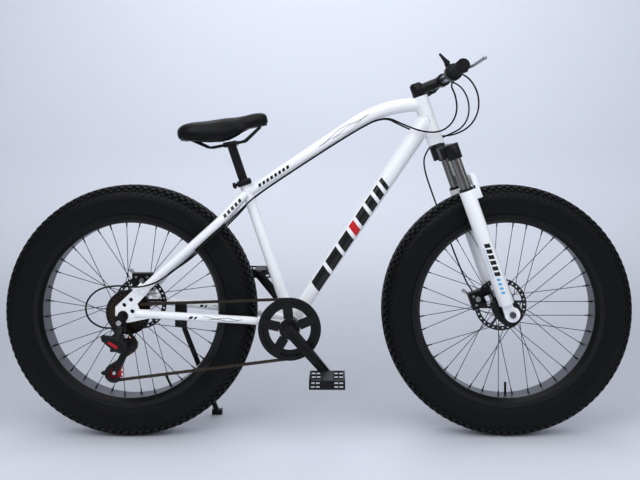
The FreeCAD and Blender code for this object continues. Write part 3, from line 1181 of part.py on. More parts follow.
def cables():
    """Brake and shift cables along their whole routes."""
    lever_y = BRACKET_Y - BRACKET_HALF - GAP
    start = STEER.multVec(V(BAR_X + LEVER_PIVOT, -lever_y, BAR_Z))
    brake = [start, start + V(0, 45, 0), V(438, -72, 1046), V(464, -58, 1004), V(468, -40, 954), V(448, -16, 912),
             V(406, 8, 888), V(354, 30, 884), V(298, 37, 896), V(246, 30, 918), V(196, 18, 943),
             V(119, 17, 909), V(-160, 18, 728), V(-212, 27, 686), V(-272, 72, 622), V(-430, 80, 478),
             V(-518, 74, 446)]
    pod = STEER.multVec(V(BAR_X, -SHIFTER_Y + SHIFTER_HALF + GAP, BAR_Z - SHIFTER_R + 2 * CABLE_R))
    stop = REAR_AXLE + V(STOP_X - GAP, LINK_UP_Y, LINK_UP_Z)
    shift = [pod, pod + V(0, 60, -10), V(392, -84, 1000), V(402, -62, 955), V(386, -50, 915), V(350, -46, 893),
             V(300, -44, 896), V(248, -34, 917), V(196, -18, 943), V(119, -17, 909), V(-160, -18, 728),
             V(-212, -27, 686), V(-272, -74, 622), V(-430, -112, 478), V(-500, -119, 452), V(-560, -124, 462),
             V(-620, -126, 452), V(-655, -125, 412), V(-650, -120, 366), V(-616, -114, 340), stop]
    start = STEER.multVec(V(BAR_X + LEVER_PIVOT, lever_y, BAR_Z))
    front = [start, start - V(0, 45, 0), V(436, 76, 1044), V(460, 72, 1002), V(462, 72, 950), V(440, 70, 912),
             V(402, 68, 893), V(362, 67, 876), V(332, 72, 845), V(318, 84, 800), V(361, 92, 678),
             V(448, 76, 443), V(469, 62, 411)]
    for name, routes in (("rear_cables", (brake, shift)), ("front_brake_cable", (front,))):
        cords = []
        for points in routes:
            spine = route(points)
            cord = swept(spine, CABLE_R)
            tightest = min(edge.Curve.Radius for edge in spine.Edges if hasattr(edge.Curve, "Radius"))
            print(name, "length", round(spine.Length), "tightest bend", round(tightest, 1),
                  "volume share", round(cord.Volume / (math.pi * CABLE_R ** 2 * spine.Length), 4))
            cords.append(cord)
        keep(name, *cords)


def main():
    """Builds every piece and writes its file."""
    chainstay = frame_tubes()
    fork()
    cockpit()
    seat()
    wheels()
    pins, phases = chain_line()
    chain(pins)
    drive(phases)
    derailleur(phases)
    brakes()
    kickstand(chainstay)
    cables()
    os.makedirs("parts", exist_ok=True)
    for name, shape in pieces.items():
        shape.exportStep("parts/" + name + ".step")
    print(len(pieces), "pieces,", len(pins), "chain links")


main()
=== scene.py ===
"""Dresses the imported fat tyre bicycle: finishes, tyre knobs, padded saddle, grips, cables and studio."""
import json
import logging
import math
from dataclasses import dataclass, field
from enum import Enum

import bmesh
import bpy
import numpy as np
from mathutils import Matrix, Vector

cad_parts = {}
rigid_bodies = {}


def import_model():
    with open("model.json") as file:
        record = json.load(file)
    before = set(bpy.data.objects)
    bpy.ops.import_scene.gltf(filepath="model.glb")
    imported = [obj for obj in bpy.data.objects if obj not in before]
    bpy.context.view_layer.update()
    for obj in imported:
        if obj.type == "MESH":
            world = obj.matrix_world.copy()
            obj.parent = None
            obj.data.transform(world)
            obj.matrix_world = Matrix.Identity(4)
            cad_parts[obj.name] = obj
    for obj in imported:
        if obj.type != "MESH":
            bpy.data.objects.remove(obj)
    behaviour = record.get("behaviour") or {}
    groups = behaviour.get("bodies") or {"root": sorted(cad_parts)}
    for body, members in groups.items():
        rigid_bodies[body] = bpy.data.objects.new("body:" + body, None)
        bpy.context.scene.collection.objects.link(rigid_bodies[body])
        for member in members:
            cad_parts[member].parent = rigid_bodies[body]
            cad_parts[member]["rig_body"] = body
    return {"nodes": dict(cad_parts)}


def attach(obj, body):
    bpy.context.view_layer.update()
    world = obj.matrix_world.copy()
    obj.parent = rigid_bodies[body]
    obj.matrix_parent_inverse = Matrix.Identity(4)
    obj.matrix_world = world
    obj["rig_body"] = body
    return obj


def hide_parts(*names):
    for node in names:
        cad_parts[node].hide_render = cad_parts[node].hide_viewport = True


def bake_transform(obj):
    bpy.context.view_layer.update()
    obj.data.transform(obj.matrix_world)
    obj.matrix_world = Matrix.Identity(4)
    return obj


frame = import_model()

Colour = tuple[float, float, float]
Point = tuple[float, float, float]
MM = 0.001
log = logging.getLogger("bicycle")


class Side(Enum):
    """Side of the bicycle, as the sign of Y."""

    RIGHT = -1
    LEFT = 1


class End(Enum):
    """Which wheel, by the prefix of its nodes."""

    FRONT = "front"
    REAR = "rear"


class Nodes:
    """Short ways to add and join shader nodes in one material."""

    def __init__(self, material: bpy.types.Material) -> None:
        """Starts from an empty tree.

        Args:
            material: The material whose tree is filled.
        """
        material.use_nodes = True
        self.tree = material.node_tree
        self.tree.nodes.clear()

    def add(self, kind: str, **values: object) -> bpy.types.Node:
        """Adds one node.

        Args:
            kind: Blender's node type.
            values: Properties set on the node.

        Returns:
            The new node.
        """
        node = self.tree.nodes.new(kind)
        for key, value in values.items():
            setattr(node, key, value)
        return node

    def link(self, source: bpy.types.NodeSocket, target: bpy.types.NodeSocket) -> None:
        """Joins two sockets.

        Args:
            source: Output socket.
            target: Input socket.
        """
        self.tree.links.new(source, target)

    def math(self, operation: str, first: object, second: object = 0.0) -> bpy.types.NodeSocket:
        """Adds a math node.

        Args:
            operation: Blender's name for the operation.
            first: Socket or number.
            second: Socket or number.

        Returns:
            The result socket.
        """
        node = self.add("ShaderNodeMath", operation=operation)
        for index, value in enumerate((first, second)):
            if isinstance(value, (int, float)):
                node.inputs[index].default_value = value
            else:
                self.link(value, node.inputs[index])
        return node.outputs[0]

    def window(self, value: bpy.types.NodeSocket, low: float, high: float) -> bpy.types.NodeSocket:
        """One inside an interval and zero outside it.

        Args:
            value: The measured socket.
            low: Lower end.
            high: Upper end.

        Returns:
            The mask socket.
        """
        above = self.math("GREATER_THAN", value, low)
        below = self.math("LESS_THAN", value, high)
        return self.math("MULTIPLY", above, below)


@dataclass(frozen=True)
class Mark:
    """One painted dash on a tube, in millimetres along and across the tube in the side view."""

    along: tuple[float, float]
    across: tuple[float, float]
    colour: Colour
    slant: float = 0.0
    wave: float = 0.0
    wave_length: float = 100.0
    outer: float = 0.0


@dataclass(frozen=True)
class Finish:
    """A procedural finish: a colour that varies with a fine grain, its sheen and its bump."""

    name: str
    colour: Colour
    rough: float
    metal: float = 0.0
    coat: float = 0.0
    grain: float = 300.0
    vary: float = 0.08
    bump: float = 0.02
    sheen: float = 0.5

    def material(self) -> bpy.types.Material:
        """Builds the finish once.

        Returns:
            The material.
        """
        label = self.name + " finish"
        found = bpy.data.materials.get(label)
        if found:
            return found
        made = bpy.data.materials.new(label)
        nodes = Nodes(made)
        place = nodes.add("ShaderNodeTexCoord")
        colour = self.base(nodes, place)
        self.shade(nodes, place, colour)
        return made

    def base(self, nodes: Nodes, place: bpy.types.Node) -> bpy.types.NodeSocket:
        """The grained colour.

        Args:
            nodes: The material's nodes.
            place: Its texture coordinates.

        Returns:
            The colour socket.
        """
        noise = nodes.add("ShaderNodeTexNoise")
        noise.inputs["Scale"].default_value = self.grain
        noise.inputs["Detail"].default_value = 4.0
        nodes.link(place.outputs["Object"], noise.inputs["Vector"])
        mix = nodes.add("ShaderNodeMix", data_type="RGBA")
        mix.inputs["A"].default_value = tuple(c * (1 - self.vary) for c in self.colour) + (1.0,)
        mix.inputs["B"].default_value = tuple(min(1.0, c * (1 + self.vary)) for c in self.colour) + (1.0,)
        nodes.link(noise.outputs["Fac"], mix.inputs["Factor"])
        return mix.outputs["Result"]

    def shade(self, nodes: Nodes, place: bpy.types.Node, colour: bpy.types.NodeSocket) -> None:
        """The surface shader with its grain.

        Args:
            nodes: The material's nodes.
            place: Its texture coordinates.
            colour: The colour socket.
        """
        out = nodes.add("ShaderNodeOutputMaterial")
        surface = nodes.add("ShaderNodeBsdfPrincipled")
        surface.inputs["Metallic"].default_value = self.metal
        surface.inputs["Specular IOR Level"].default_value = self.sheen
        surface.inputs["Coat Weight"].default_value = self.coat
        surface.inputs["Coat Roughness"].default_value = 0.06
        noise = nodes.add("ShaderNodeTexNoise")
        noise.inputs["Scale"].default_value = self.grain * 2
        nodes.link(place.outputs["Object"], noise.inputs["Vector"])
        spread = nodes.add("ShaderNodeMapRange")
        spread.inputs["To Min"].default_value = max(0.02, self.rough * 0.85)
        spread.inputs["To Max"].default_value = min(1.0, self.rough * 1.15)
        nodes.link(noise.outputs["Fac"], spread.inputs["Value"])
        nodes.link(spread.outputs["Result"], surface.inputs["Roughness"])
        bump = nodes.add("ShaderNodeBump")
        bump.inputs["Strength"].default_value = self.bump
        bump.inputs["Distance"].default_value = 0.001
        nodes.link(noise.outputs["Fac"], bump.inputs["Height"])
        nodes.link(bump.outputs["Normal"], surface.inputs["Normal"])
        nodes.link(colour, surface.inputs["Base Color"])
        nodes.link(self.cover(nodes, surface.outputs["BSDF"]), out.inputs["Surface"])

    def cover(self, nodes: Nodes, surface: bpy.types.NodeSocket) -> bpy.types.NodeSocket:
        """The surface as it shows, alike from both sides.

        Args:
            nodes: The material's nodes.
            surface: The shader socket.

        Returns:
            The shader socket for the output.
        """
        return surface


@dataclass(frozen=True)
class MarkedPaint(Finish):
    """Paint with printed dashes, placed in the side view along one tube's axis."""

    start: tuple[float, float] = (0.0, 0.0)
    end: tuple[float, float] = (1.0, 0.0)
    marks: tuple[Mark, ...] = ()

    def base(self, nodes: Nodes, place: bpy.types.Node) -> bpy.types.NodeSocket:
        """The grained colour with the dashes over it.

        Args:
            nodes: The material's nodes.
            place: Its texture coordinates.

        Returns:
            The colour socket.
        """
        colour = super().base(nodes, place)
        split = nodes.add("ShaderNodeSeparateXYZ")
        nodes.link(place.outputs["Object"], split.inputs[0])
        run = Vector((self.end[0] - self.start[0], self.end[1] - self.start[1])).normalized()
        x = nodes.math("SUBTRACT", split.outputs["X"], self.start[0] * MM)
        z = nodes.math("SUBTRACT", split.outputs["Z"], self.start[1] * MM)
        along = nodes.math("ADD", nodes.math("MULTIPLY", x, run.x), nodes.math("MULTIPLY", z, run.y))
        across = nodes.math("SUBTRACT", nodes.math("MULTIPLY", z, run.x), nodes.math("MULTIPLY", x, run.y))
        aside = nodes.math("ABSOLUTE", split.outputs["Y"])
        for mark in self.marks:
            s = nodes.math("SUBTRACT", along, nodes.math("MULTIPLY", across, mark.slant))
            t = across
            if mark.wave:
                rate = 2 * math.pi / (mark.wave_length * MM)
                turn = nodes.math("SINE", nodes.math("MULTIPLY", along, rate))
                t = nodes.math("SUBTRACT", across, nodes.math("MULTIPLY", turn, mark.wave * MM))
            mask = nodes.math("MULTIPLY", nodes.window(s, mark.along[0] * MM, mark.along[1] * MM),
                              nodes.window(t, mark.across[0] * MM, mark.across[1] * MM))
            if mark.outer:
                mask = nodes.math("MULTIPLY", mask, nodes.math("GREATER_THAN", aside, mark.outer * MM))
            over = nodes.add("ShaderNodeMix", data_type="RGBA")
            nodes.link(mask, over.inputs["Factor"])
            nodes.link(colour, over.inputs["A"])
            over.inputs["B"].default_value = mark.colour + (1.0,)
            colour = over.outputs["Result"]
        return colour


@dataclass(frozen=True)
class SweepPaint(Finish):
    """Studio sweep with painted shade: its tone runs from the near floor, over a darker far floor, up to a
    pale wall.
    """

    painted_shade_tones: tuple[tuple[float, float], ...] = ()
    reach: tuple[float, float] = (-1.0, 4.0)

    def cover(self, nodes: Nodes, surface: bpy.types.NodeSocket) -> bpy.types.NodeSocket:
        """The sweep as it shows, solid from the inside of its bend and clear from the outside.

        Args:
            nodes: The material's nodes.
            surface: The shader socket.

        Returns:
            The shader socket for the output.
        """
        facing = nodes.add("ShaderNodeNewGeometry")
        clear = nodes.add("ShaderNodeBsdfTransparent")
        mix = nodes.add("ShaderNodeMixShader")
        nodes.link(facing.outputs["Backfacing"], mix.inputs[0])
        nodes.link(clear.outputs["BSDF"], mix.inputs[1])
        nodes.link(surface, mix.inputs[2])
        return mix.outputs["Shader"]

    def base(self, nodes: Nodes, place: bpy.types.Node) -> bpy.types.NodeSocket:
        """The grained colour under painted shade that varies along the sweep.

        Args:
            nodes: The material's nodes.
            place: Its texture coordinates.

        Returns:
            The colour socket.
        """
        colour = super().base(nodes, place)
        split = nodes.add("ShaderNodeSeparateXYZ")
        nodes.link(place.outputs["Object"], split.inputs[0])
        run = nodes.add("ShaderNodeMapRange")
        run.inputs["From Min"].default_value, run.inputs["From Max"].default_value = self.reach
        nodes.link(nodes.math("ADD", split.outputs["Y"], split.outputs["Z"]), run.inputs["Value"])
        # The ramp paints shade over the sweep: darker on the far floor, palest up the wall.
        ramp = nodes.add("ShaderNodeValToRGB")
        ramp.color_ramp.interpolation = "B_SPLINE"
        stops = ramp.color_ramp.elements
        low, high = self.reach
        for place_m, tone in self.painted_shade_tones[2:]:
            stops.new((place_m - low) / (high - low))
        for stop, (place_m, tone) in zip(stops, sorted(self.painted_shade_tones)):
            stop.position = (place_m - low) / (high - low)
            stop.color = (tone, tone, tone, 1.0)
        nodes.link(run.outputs["Result"], ramp.inputs["Fac"])
        mix = nodes.add("ShaderNodeMix", data_type="RGBA", blend_type="MULTIPLY")
        mix.inputs["Factor"].default_value = 1.0
        nodes.link(colour, mix.inputs["A"])
        nodes.link(ramp.outputs["Color"], mix.inputs["B"])
        return mix.outputs["Result"]


@dataclass(frozen=True)
class RimPaint(Finish):
    """Rim finish: a lighter bed between dark side walls."""

    edge: Colour = (0.0, 0.0, 0.0)
    half: float = 27.0

    def base(self, nodes: Nodes, place: bpy.types.Node) -> bpy.types.NodeSocket:
        """The grained colour with the dark walls over it.

        Args:
            nodes: The material's nodes.
            place: Its texture coordinates.

        Returns:
            The colour socket.
        """
        colour = super().base(nodes, place)
        split = nodes.add("ShaderNodeSeparateXYZ")
        nodes.link(place.outputs["Object"], split.inputs[0])
        mask = nodes.window(split.outputs["Y"], -self.half * MM, self.half * MM)
        mix = nodes.add("ShaderNodeMix", data_type="RGBA")
        nodes.link(mask, mix.inputs["Factor"])
        mix.inputs["A"].default_value = self.edge + (1.0,)
        nodes.link(colour, mix.inputs["B"])
        return mix.outputs["Result"]


BLACK: Colour = (0.004, 0.004, 0.0045)
RED: Colour = (0.55, 0.01, 0.015)
SKY: Colour = (0.12, 0.42, 0.72)
WHITE: Colour = (0.88, 0.89, 0.91)

WHITE_PAINT = Finish("white paint", WHITE, 0.22, coat=0.25, grain=60, vary=0.02, bump=0.01, sheen=0.3)
BLACK_PAINT = Finish("black paint", (0.005, 0.005, 0.0055), 0.3, grain=200, vary=0.2, bump=0.02, sheen=0.22)
BLACK_PLASTIC = Finish(
    "black plastic", (0.006, 0.006, 0.0065), 0.45, grain=400, vary=0.2, bump=0.06, sheen=0.2)
RIM_GREY = RimPaint(
    "rim grey", (0.085, 0.088, 0.1), 0.36, metal=0.5, grain=120, vary=0.12, bump=0.02, edge=BLACK)
DARK_STEEL = Finish("dark steel", (0.035, 0.035, 0.037), 0.32, metal=0.8, grain=250, vary=0.2, bump=0.03)
GUNMETAL = Finish("gunmetal", (0.09, 0.094, 0.105), 0.28, metal=0.8, grain=150, vary=0.12, bump=0.02)
CHROME = Finish("chrome", (0.22, 0.215, 0.205), 0.14, metal=1.0, grain=90, vary=0.03, bump=0.004)
STEEL = Finish("steel", (0.55, 0.55, 0.56), 0.3, metal=1.0, grain=250, vary=0.15, bump=0.03)
ALLOY = Finish("lever alloy", (0.33, 0.335, 0.345), 0.3, metal=0.9, grain=180, vary=0.1, bump=0.02)
BRONZE = Finish("bronze steel", (0.04, 0.032, 0.022), 0.36, metal=0.75, grain=260, vary=0.35, bump=0.03)
RED_PLASTIC = Finish("red plastic", (0.42, 0.006, 0.012), 0.35, grain=300, vary=0.12, bump=0.03, sheen=0.3)
RUBBER = Finish("rubber", (0.005, 0.005, 0.0053), 0.6, grain=500, vary=0.25, bump=0.1, sheen=0.15)
TYRE = Finish("tyre rubber", (0.0035, 0.0037, 0.0042), 0.45, grain=240, vary=0.35, bump=0.1, sheen=0.13)
LEATHER = Finish("saddle cover", (0.004, 0.004, 0.0045), 0.38, grain=700, vary=0.25, bump=0.18, sheen=0.14)
# The floor's tone stops are painted shade: darker on the far floor, palest up the wall.
FLOOR = SweepPaint(
    "studio floor", (0.83, 0.86, 0.945), 0.55, grain=3, vary=0.012, bump=0.0,
    painted_shade_tones=((-0.95, 0.8), (-0.3, 0.87), (-0.1, 0.88), (0.02, 0.66), (0.15, 0.6), (0.5, 0.57),
           (1.06, 0.58), (1.75, 0.68), (2.12, 0.79), (2.65, 0.94), (3.2, 1.0), (3.95, 0.98)))


@dataclass
class Draft:
    """Vertices and faces that several shapes are added to, in millimetres."""

    points: list[Point] = field(default_factory=list)
    faces: list[tuple[int, ...]] = field(default_factory=list)

    def grid(self, rows: np.ndarray, wrap_rows: bool, wrap_columns: bool) -> None:
        """Adds a sheet of quads.

        Args:
            rows: Array of shape (rows, columns, 3).
            wrap_rows: Whether the last row joins the first.
            wrap_columns: Whether the last column joins the first.
        """
        first = len(self.points)
        count, width = rows.shape[:2]
        self.points += [tuple(p) for p in rows.reshape(-1, 3)]
        for i in range(count if wrap_rows else count - 1):
            for j in range(width if wrap_columns else width - 1):
                a = first + i * width + j
                b = first + i * width + (j + 1) % width
                c = first + ((i + 1) % count) * width + (j + 1) % width
                d = first + ((i + 1) % count) * width + j
                self.faces.append((a, b, c, d))

    def prism(self, low: np.ndarray, high: np.ndarray) -> None:
        """Adds a closed prism between two rings with as many points.

        Args:
            low: Array of shape (n, 3).
            high: Array of shape (n, 3).
        """
        first = len(self.points)
        n = len(low)
        self.points += [tuple(p) for p in low] + [tuple(p) for p in high]
        self.faces += [tuple(range(first + n - 1, first - 1, -1)), tuple(range(first + n, first + 2 * n))]
        for i in range(n):
            j = (i + 1) % n
            self.faces.append((first + i, first + j, first + n + j, first + n + i))

    def puck(self, outline: list[tuple[float, float]], y0: float, y1: float, crown: float) -> None:
        """Adds a plate with a rounded outer edge, from its outline in the side view.

        Args:
            outline: Corners as (x, z).
            y0: Where the plate starts.
            y1: Its outer face.
            crown: Size of the outer face as a share of the outline.
        """
        flat = np.array(outline, dtype=float)
        middle = flat.mean(axis=0)
        rows = []
        for share, size in ((0.0, 1.0), (0.5, 1.0), (0.85, (1 + crown) / 2), (1.0, crown)):
            ring = middle + (flat - middle) * size
            rows.append([(x, y0 + (y1 - y0) * share, z) for x, z in ring])
        base = len(self.points)
        self.grid(np.array(rows), False, True)
        count = len(flat)
        self.faces.append(tuple(range(base + count - 1, base - 1, -1)))
        self.faces.append(tuple(range(base + 3 * count, base + 4 * count)))

    def tube(self, path: np.ndarray, radius: float, sides: int = 12, closed: bool = False) -> None:
        """Adds a round tube along a path, with flat ends.

        Args:
            path: Array of shape (n, 3).
            radius: Its radius.
            sides: Points round it.
            closed: Whether the path is a loop.
        """
        rings = frames_along(path, closed)
        turn = np.linspace(0, 2 * math.pi, sides, endpoint=False)
        rows = [p + radius * (np.outer(np.cos(turn), u) + np.outer(np.sin(turn), v)) for p, u, v in rings]
        first = len(self.points)
        self.grid(np.array(rows), closed, True)
        if not closed:
            last = len(self.points) - sides
            self.faces += [tuple(range(first + sides - 1, first - 1, -1)), tuple(range(last, last + sides))]

    def lathe(self, centre: Point, axis: Vector, profile: list[tuple[float, float]], sides: int = 48) -> None:
        """Adds a closed turned shape.

        Args:
            centre: Point on its axis.
            axis: Direction of the axis.
            profile: (along, radius) points from one end to the other.
            sides: Points round it.
        """
        along = axis.normalized()
        u = along.orthogonal().normalized()
        v = along.cross(u)
        rows = []
        for height, radius in profile:
            turn = np.linspace(0, 2 * math.pi, sides, endpoint=False)
            rows.append(np.array(centre) + np.array(along) * height
                        + radius * (np.outer(np.cos(turn), u) + np.outer(np.sin(turn), v)))
        first = len(self.points)
        self.grid(np.array(rows), False, True)
        last = len(self.points) - sides
        self.faces += [tuple(range(first + sides - 1, first - 1, -1)), tuple(range(last, last + sides))]

    def build(self, name: str, finish: Finish, smooth: float = 40.0) -> bpy.types.Object:
        """Makes the object in metres.

        Args:
            name: Its name.
            finish: Its finish.
            smooth: Angle in degrees up to which edges are smooth.

        Returns:
            The new object.
        """
        mesh = bpy.data.meshes.new(name)
        mesh.from_pydata([(x * MM, y * MM, z * MM) for x, y, z in self.points], [], self.faces)
        made = bpy.data.objects.new(name, mesh)
        bpy.context.scene.collection.objects.link(made)
        work = bmesh.new()
        work.from_mesh(mesh)
        bmesh.ops.recalc_face_normals(work, faces=work.faces)
        work.to_mesh(mesh)
        work.free()
        soften(made, smooth)
        mesh.materials.append(finish.material())
        return made


def frames_along(path: np.ndarray, closed: bool) -> list[tuple[np.ndarray, np.ndarray, np.ndarray]]:
    """Cross directions along a path that don't twist.

    Args:
        path: Array of shape (n, 3).
        closed: Whether the path is a loop.

    Returns:
        A point and two unit directions across the path for each of its points.
    """
    count = len(path)
    rings = []
    u = None
    for i in range(count):
        before = path[i - 1] if closed or i else path[i]
        after = path[(i + 1) % count] if closed or i < count - 1 else path[i]
        along = Vector(after - before).normalized()
        u = along.orthogonal() if u is None else u - along * u.dot(along)
        u.normalize()
        rings.append((path[i], np.array(u), np.array(along.cross(u))))
    return rings


def soften(thing: bpy.types.Object, degrees: float) -> None:
    """Smooth shading that keeps sharp edges.

    Args:
        thing: A mesh object.
        degrees: Angle from which an edge is sharp.
    """
    thing.data.shade_smooth()
    thing.data.set_sharp_from_angle(angle=math.radians(degrees))


def smooth_path(points: list[Point], rounds: int = 4) -> np.ndarray:
    """Rounds a route's corners by cutting them off again and again.

    Args:
        points: Corner points.
        rounds: How often corners are cut.

    Returns:
        Array of path points with the same ends.
    """
    path = np.array(points, float)
    for _ in range(rounds):
        a, b = path[:-1], path[1:]
        cut = np.empty((2 * len(a), 3))
        cut[0::2] = a * 0.75 + b * 0.25
        cut[1::2] = a * 0.25 + b * 0.75
        path = np.vstack([path[:1], cut, path[-1:]])
    return path


class SubAssembly:
    """A group of pieces that are dressed together."""

    title = "piece"

    def build(self) -> list[bpy.types.Object]:
        """Makes the group's own pieces.

        Returns:
            The new objects.
        """
        return []

    def dress(self) -> int:
        """Gives the group's CAD nodes their finish.

        Returns:
            How many nodes were dressed.
        """
        return 0

    def report(self) -> None:
        """Builds and dresses the group and logs each piece."""
        for made in self.build():
            log.info("%s: made %s", self.title, made.name)
        log.info("%s: dressed %d nodes", self.title, self.dress())


def paint(finish: Finish, *names: str) -> int:
    """Gives CAD nodes a finish where they are.

    Args:
        finish: The finish.
        names: Nodes.

    Returns:
        How many nodes were painted.
    """
    for name in names:
        node = frame["nodes"][name]
        node.data.materials.clear()
        node.data.materials.append(finish.material())
        soften(node, 32)
    return len(names)


def eased(name: str, finish: Finish, width: float) -> bpy.types.Object:
    """A copy of a CAD node with its hard edges rounded, shown in its place.

    Args:
        name: The node.
        finish: The copy's finish.
        width: Edge radius in millimetres.

    Returns:
        The copy.
    """
    node = frame["nodes"][name]
    mesh = node.data.copy()
    made = bpy.data.objects.new(name + "_eased", mesh)
    bpy.context.scene.collection.objects.link(made)
    work = bmesh.new()
    work.from_mesh(mesh)
    bmesh.ops.remove_doubles(work, verts=work.verts, dist=0.00002)
    bmesh.ops.dissolve_limit(work, angle_limit=math.radians(0.5), verts=work.verts, edges=work.edges)
    work.to_mesh(mesh)
    work.free()
    round_edges = made.modifiers.new("round edges", "BEVEL")
    round_edges.width = width * MM
    round_edges.segments = 2
    round_edges.limit_method = "ANGLE"
    round_edges.angle_limit = math.radians(40)
    round_edges.harden_normals = False
    apply_modifiers(made)
    soften(made, 40)
    mesh = made.data
    mesh.materials.clear()
    mesh.materials.append(finish.material())
    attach(made, node["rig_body"])
    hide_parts(name)
    return made


def apply_modifiers(thing: bpy.types.Object) -> None:
    """Writes the modifiers' result into the mesh.

    Args:
        thing: A mesh object.
    """
    graph = bpy.context.evaluated_depsgraph_get()
    result = bpy.data.meshes.new_from_object(thing.evaluated_get(graph))
    thing.modifiers.clear()
    thing.data = result


HEAD = Vector((325.0, 0.0, 930.0))
BB = Vector((-83.0, 0.0, 330.0))
STEER_LEAN = math.radians(19.5)
SEAT_LEAN = math.radians(18.75)


def lean_frame(origin: Vector, lean: float, local: Point) -> Vector:
    """A point given in a frame that leans back about Y.

    Args:
        origin: The frame's origin.
        lean: Angle from upright.
        local: The point in that frame.

    Returns:
        The point in the row frame, in millimetres.
    """
    x, y, z = local
    c, s = math.cos(lean), math.sin(lean)
    return origin + Vector((x * c - z * s, y, x * s + z * c))


def steer(x: float, y: float, z: float) -> Vector:
    """A point in the steering frame.

    Args:
        x: Ahead of the steering axis.
        y: To the left.
        z: Up the steering axis.

    Returns:
        The point in the row frame.
    """
    return lean_frame(HEAD, STEER_LEAN, (x, y, z))


@dataclass(frozen=True)
class KnobRow:
    """One row of tread knobs round the tyre."""

    y: float
    radius: float
    tilt: float
    length: float
    width: float
    height: float
    phase: float


@dataclass
class Wheel(SubAssembly):
    """Tyre with knobs, rim, spokes with nipples, hub and brake disc."""

    end: End
    centre_x: float
    flange: float
    axle_z: float = 370.0
    pitches: int = 100
    segments: int = 200
    rim_radius: float = 258.0
    spokes: int = 36
    title = "wheel"
    rows: tuple[KnobRow, ...] = (
        KnobRow(6.5, 370.0, 0.0, 14.0, 10.0, 7.0, 0.0), KnobRow(20.0, 369.0, 10.0, 13.0, 11.0, 7.0, 0.5),
        KnobRow(32.5, 364.5, 24.0, 13.0, 11.0, 7.0, 0.02), KnobRow(42.0, 357.0, 44.0, 13.0, 10.0, 6.5, 0.5),
        KnobRow(47.6, 346.0, 68.0, 10.0, 8.0, 4.5, 0.02))
    outline: tuple[tuple[float, float], ...] = (
        (36.0, 275.0), (37.5, 284.0), (41.5, 293.0), (46.0, 306.0), (48.6, 320.0), (48.6, 333.0),
        (46.2, 344.0), (41.0, 352.5), (33.0, 358.2), (20.0, 362.2), (0.0, 363.5))

    def body(self) -> str:
        """Name of the wheel's body.

        Returns:
            The body.
        """
        return self.end.value + "_wheel"

    def ring(self, profile: np.ndarray, turn: np.ndarray) -> np.ndarray:
        """Points of a turned surface about the axle.

        Args:
            profile: Array of (y, radius).
            turn: Angles.

        Returns:
            Array of shape (angles, profile, 3).
        """
        c, s = np.cos(turn)[:, None], np.sin(turn)[:, None]
        y, r = profile[:, 0][None, :], profile[:, 1][None, :]
        return np.stack([self.centre_x + r * c, y + 0 * c, self.axle_z + r * s], axis=2)

    def knob(self, draft: Draft, row: KnobRow, side: int, angle: float) -> None:
        """Adds one knob to the tyre.

        Args:
            draft: The tyre's mesh.
            row: The knob's row.
            side: Sign of its side.
            angle: Its place round the wheel.
        """
        out = np.array([math.cos(angle), 0, math.sin(angle)])
        round_ = np.array([-math.sin(angle), 0, math.cos(angle)])
        tilt = math.radians(row.tilt)
        up = out * math.cos(tilt) + np.array([0, side * math.sin(tilt), 0])
        over = -out * math.sin(tilt) + np.array([0, side * math.cos(tilt), 0])
        top = np.array([self.centre_x, side * row.y, self.axle_z]) + out * row.radius
        rings = []
        for drop, grow in ((row.height + 3, 1.12), (1.0, 1.0), (0.0, 0.86)):
            a, b = row.length / 2 * grow, row.width / 2 * grow
            rings.append(np.array([top - up * drop + round_ * i * a + over * j * b
                                   for i, j in ((-1, -1), (1, -1), (1, 1), (-1, 1))]))
        draft.grid(np.array(rings), False, True)
        last = len(draft.points) - 4
        draft.faces.append(tuple(range(last, last + 4)))

    def build(self) -> list[bpy.types.Object]:
        """Makes the tyre and the spoke nipples.

        Returns:
            The new objects.
        """
        half = np.array(self.outline)
        whole = np.vstack([half, half[-2::-1] * np.array([-1, 1])])
        fine = smooth_path([(y, r, 0.0) for y, r in whole], 2)[:, :2]
        draft = Draft()
        draft.grid(self.ring(fine, np.linspace(0, 2 * math.pi, self.segments, endpoint=False)), True, False)
        step = 2 * math.pi / self.pitches
        for row in self.rows:
            for side in (-1, 1):
                offset = row.phase + (0.5 if side > 0 else 0.0)
                for i in range(self.pitches):
                    self.knob(draft, row, side, (i + offset) * step)
        tyre = draft.build(self.end.value + "_tire_knobs", TYRE, 50)
        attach(tyre, self.body())
        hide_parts(self.end.value + "_tire")
        return [tyre, self.nipples()]

    def nipples(self) -> bpy.types.Object:
        """Makes the spoke nipples inside the rim.

        Returns:
            All the nipples as one piece.
        """
        draft = Draft()
        for i in range(self.spokes):
            side = -1 if i % 2 == 0 else 1
            lead = 1 if (i // 2) % 2 == 0 else -1
            angle = math.radians((i + 0.5) * 360 / self.spokes)
            hub = angle + lead * math.radians(60)
            foot = Vector((31 * math.cos(hub), side * self.flange, 31 * math.sin(hub)))
            rim = Vector(((self.rim_radius - 0.4) * math.cos(angle), side * 8.0,
                          (self.rim_radius - 0.4) * math.sin(angle)))
            centre = rim + Vector((self.centre_x, 0, self.axle_z))
            profile = [(0.2, 3.1), (2.5, 3.1), (3.0, 2.1), (14, 1.9), (15, 1.2)]
            draft.lathe(tuple(centre), foot - rim, profile, 10)
        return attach(draft.build(self.end.value + "_nipples", BLACK_PAINT), self.body())

    def dress(self) -> int:
        """Paints the wheel's CAD nodes.

        Returns:
            How many nodes were dressed.
        """
        name = self.end.value
        count = paint(RIM_GREY, name + "_rim")
        count += paint(BLACK_PAINT, name + "_spokes", name + "_hub")
        count += paint(DARK_STEEL, name + "_rotor")
        return count + paint(RUBBER, name + "_inner_tube")


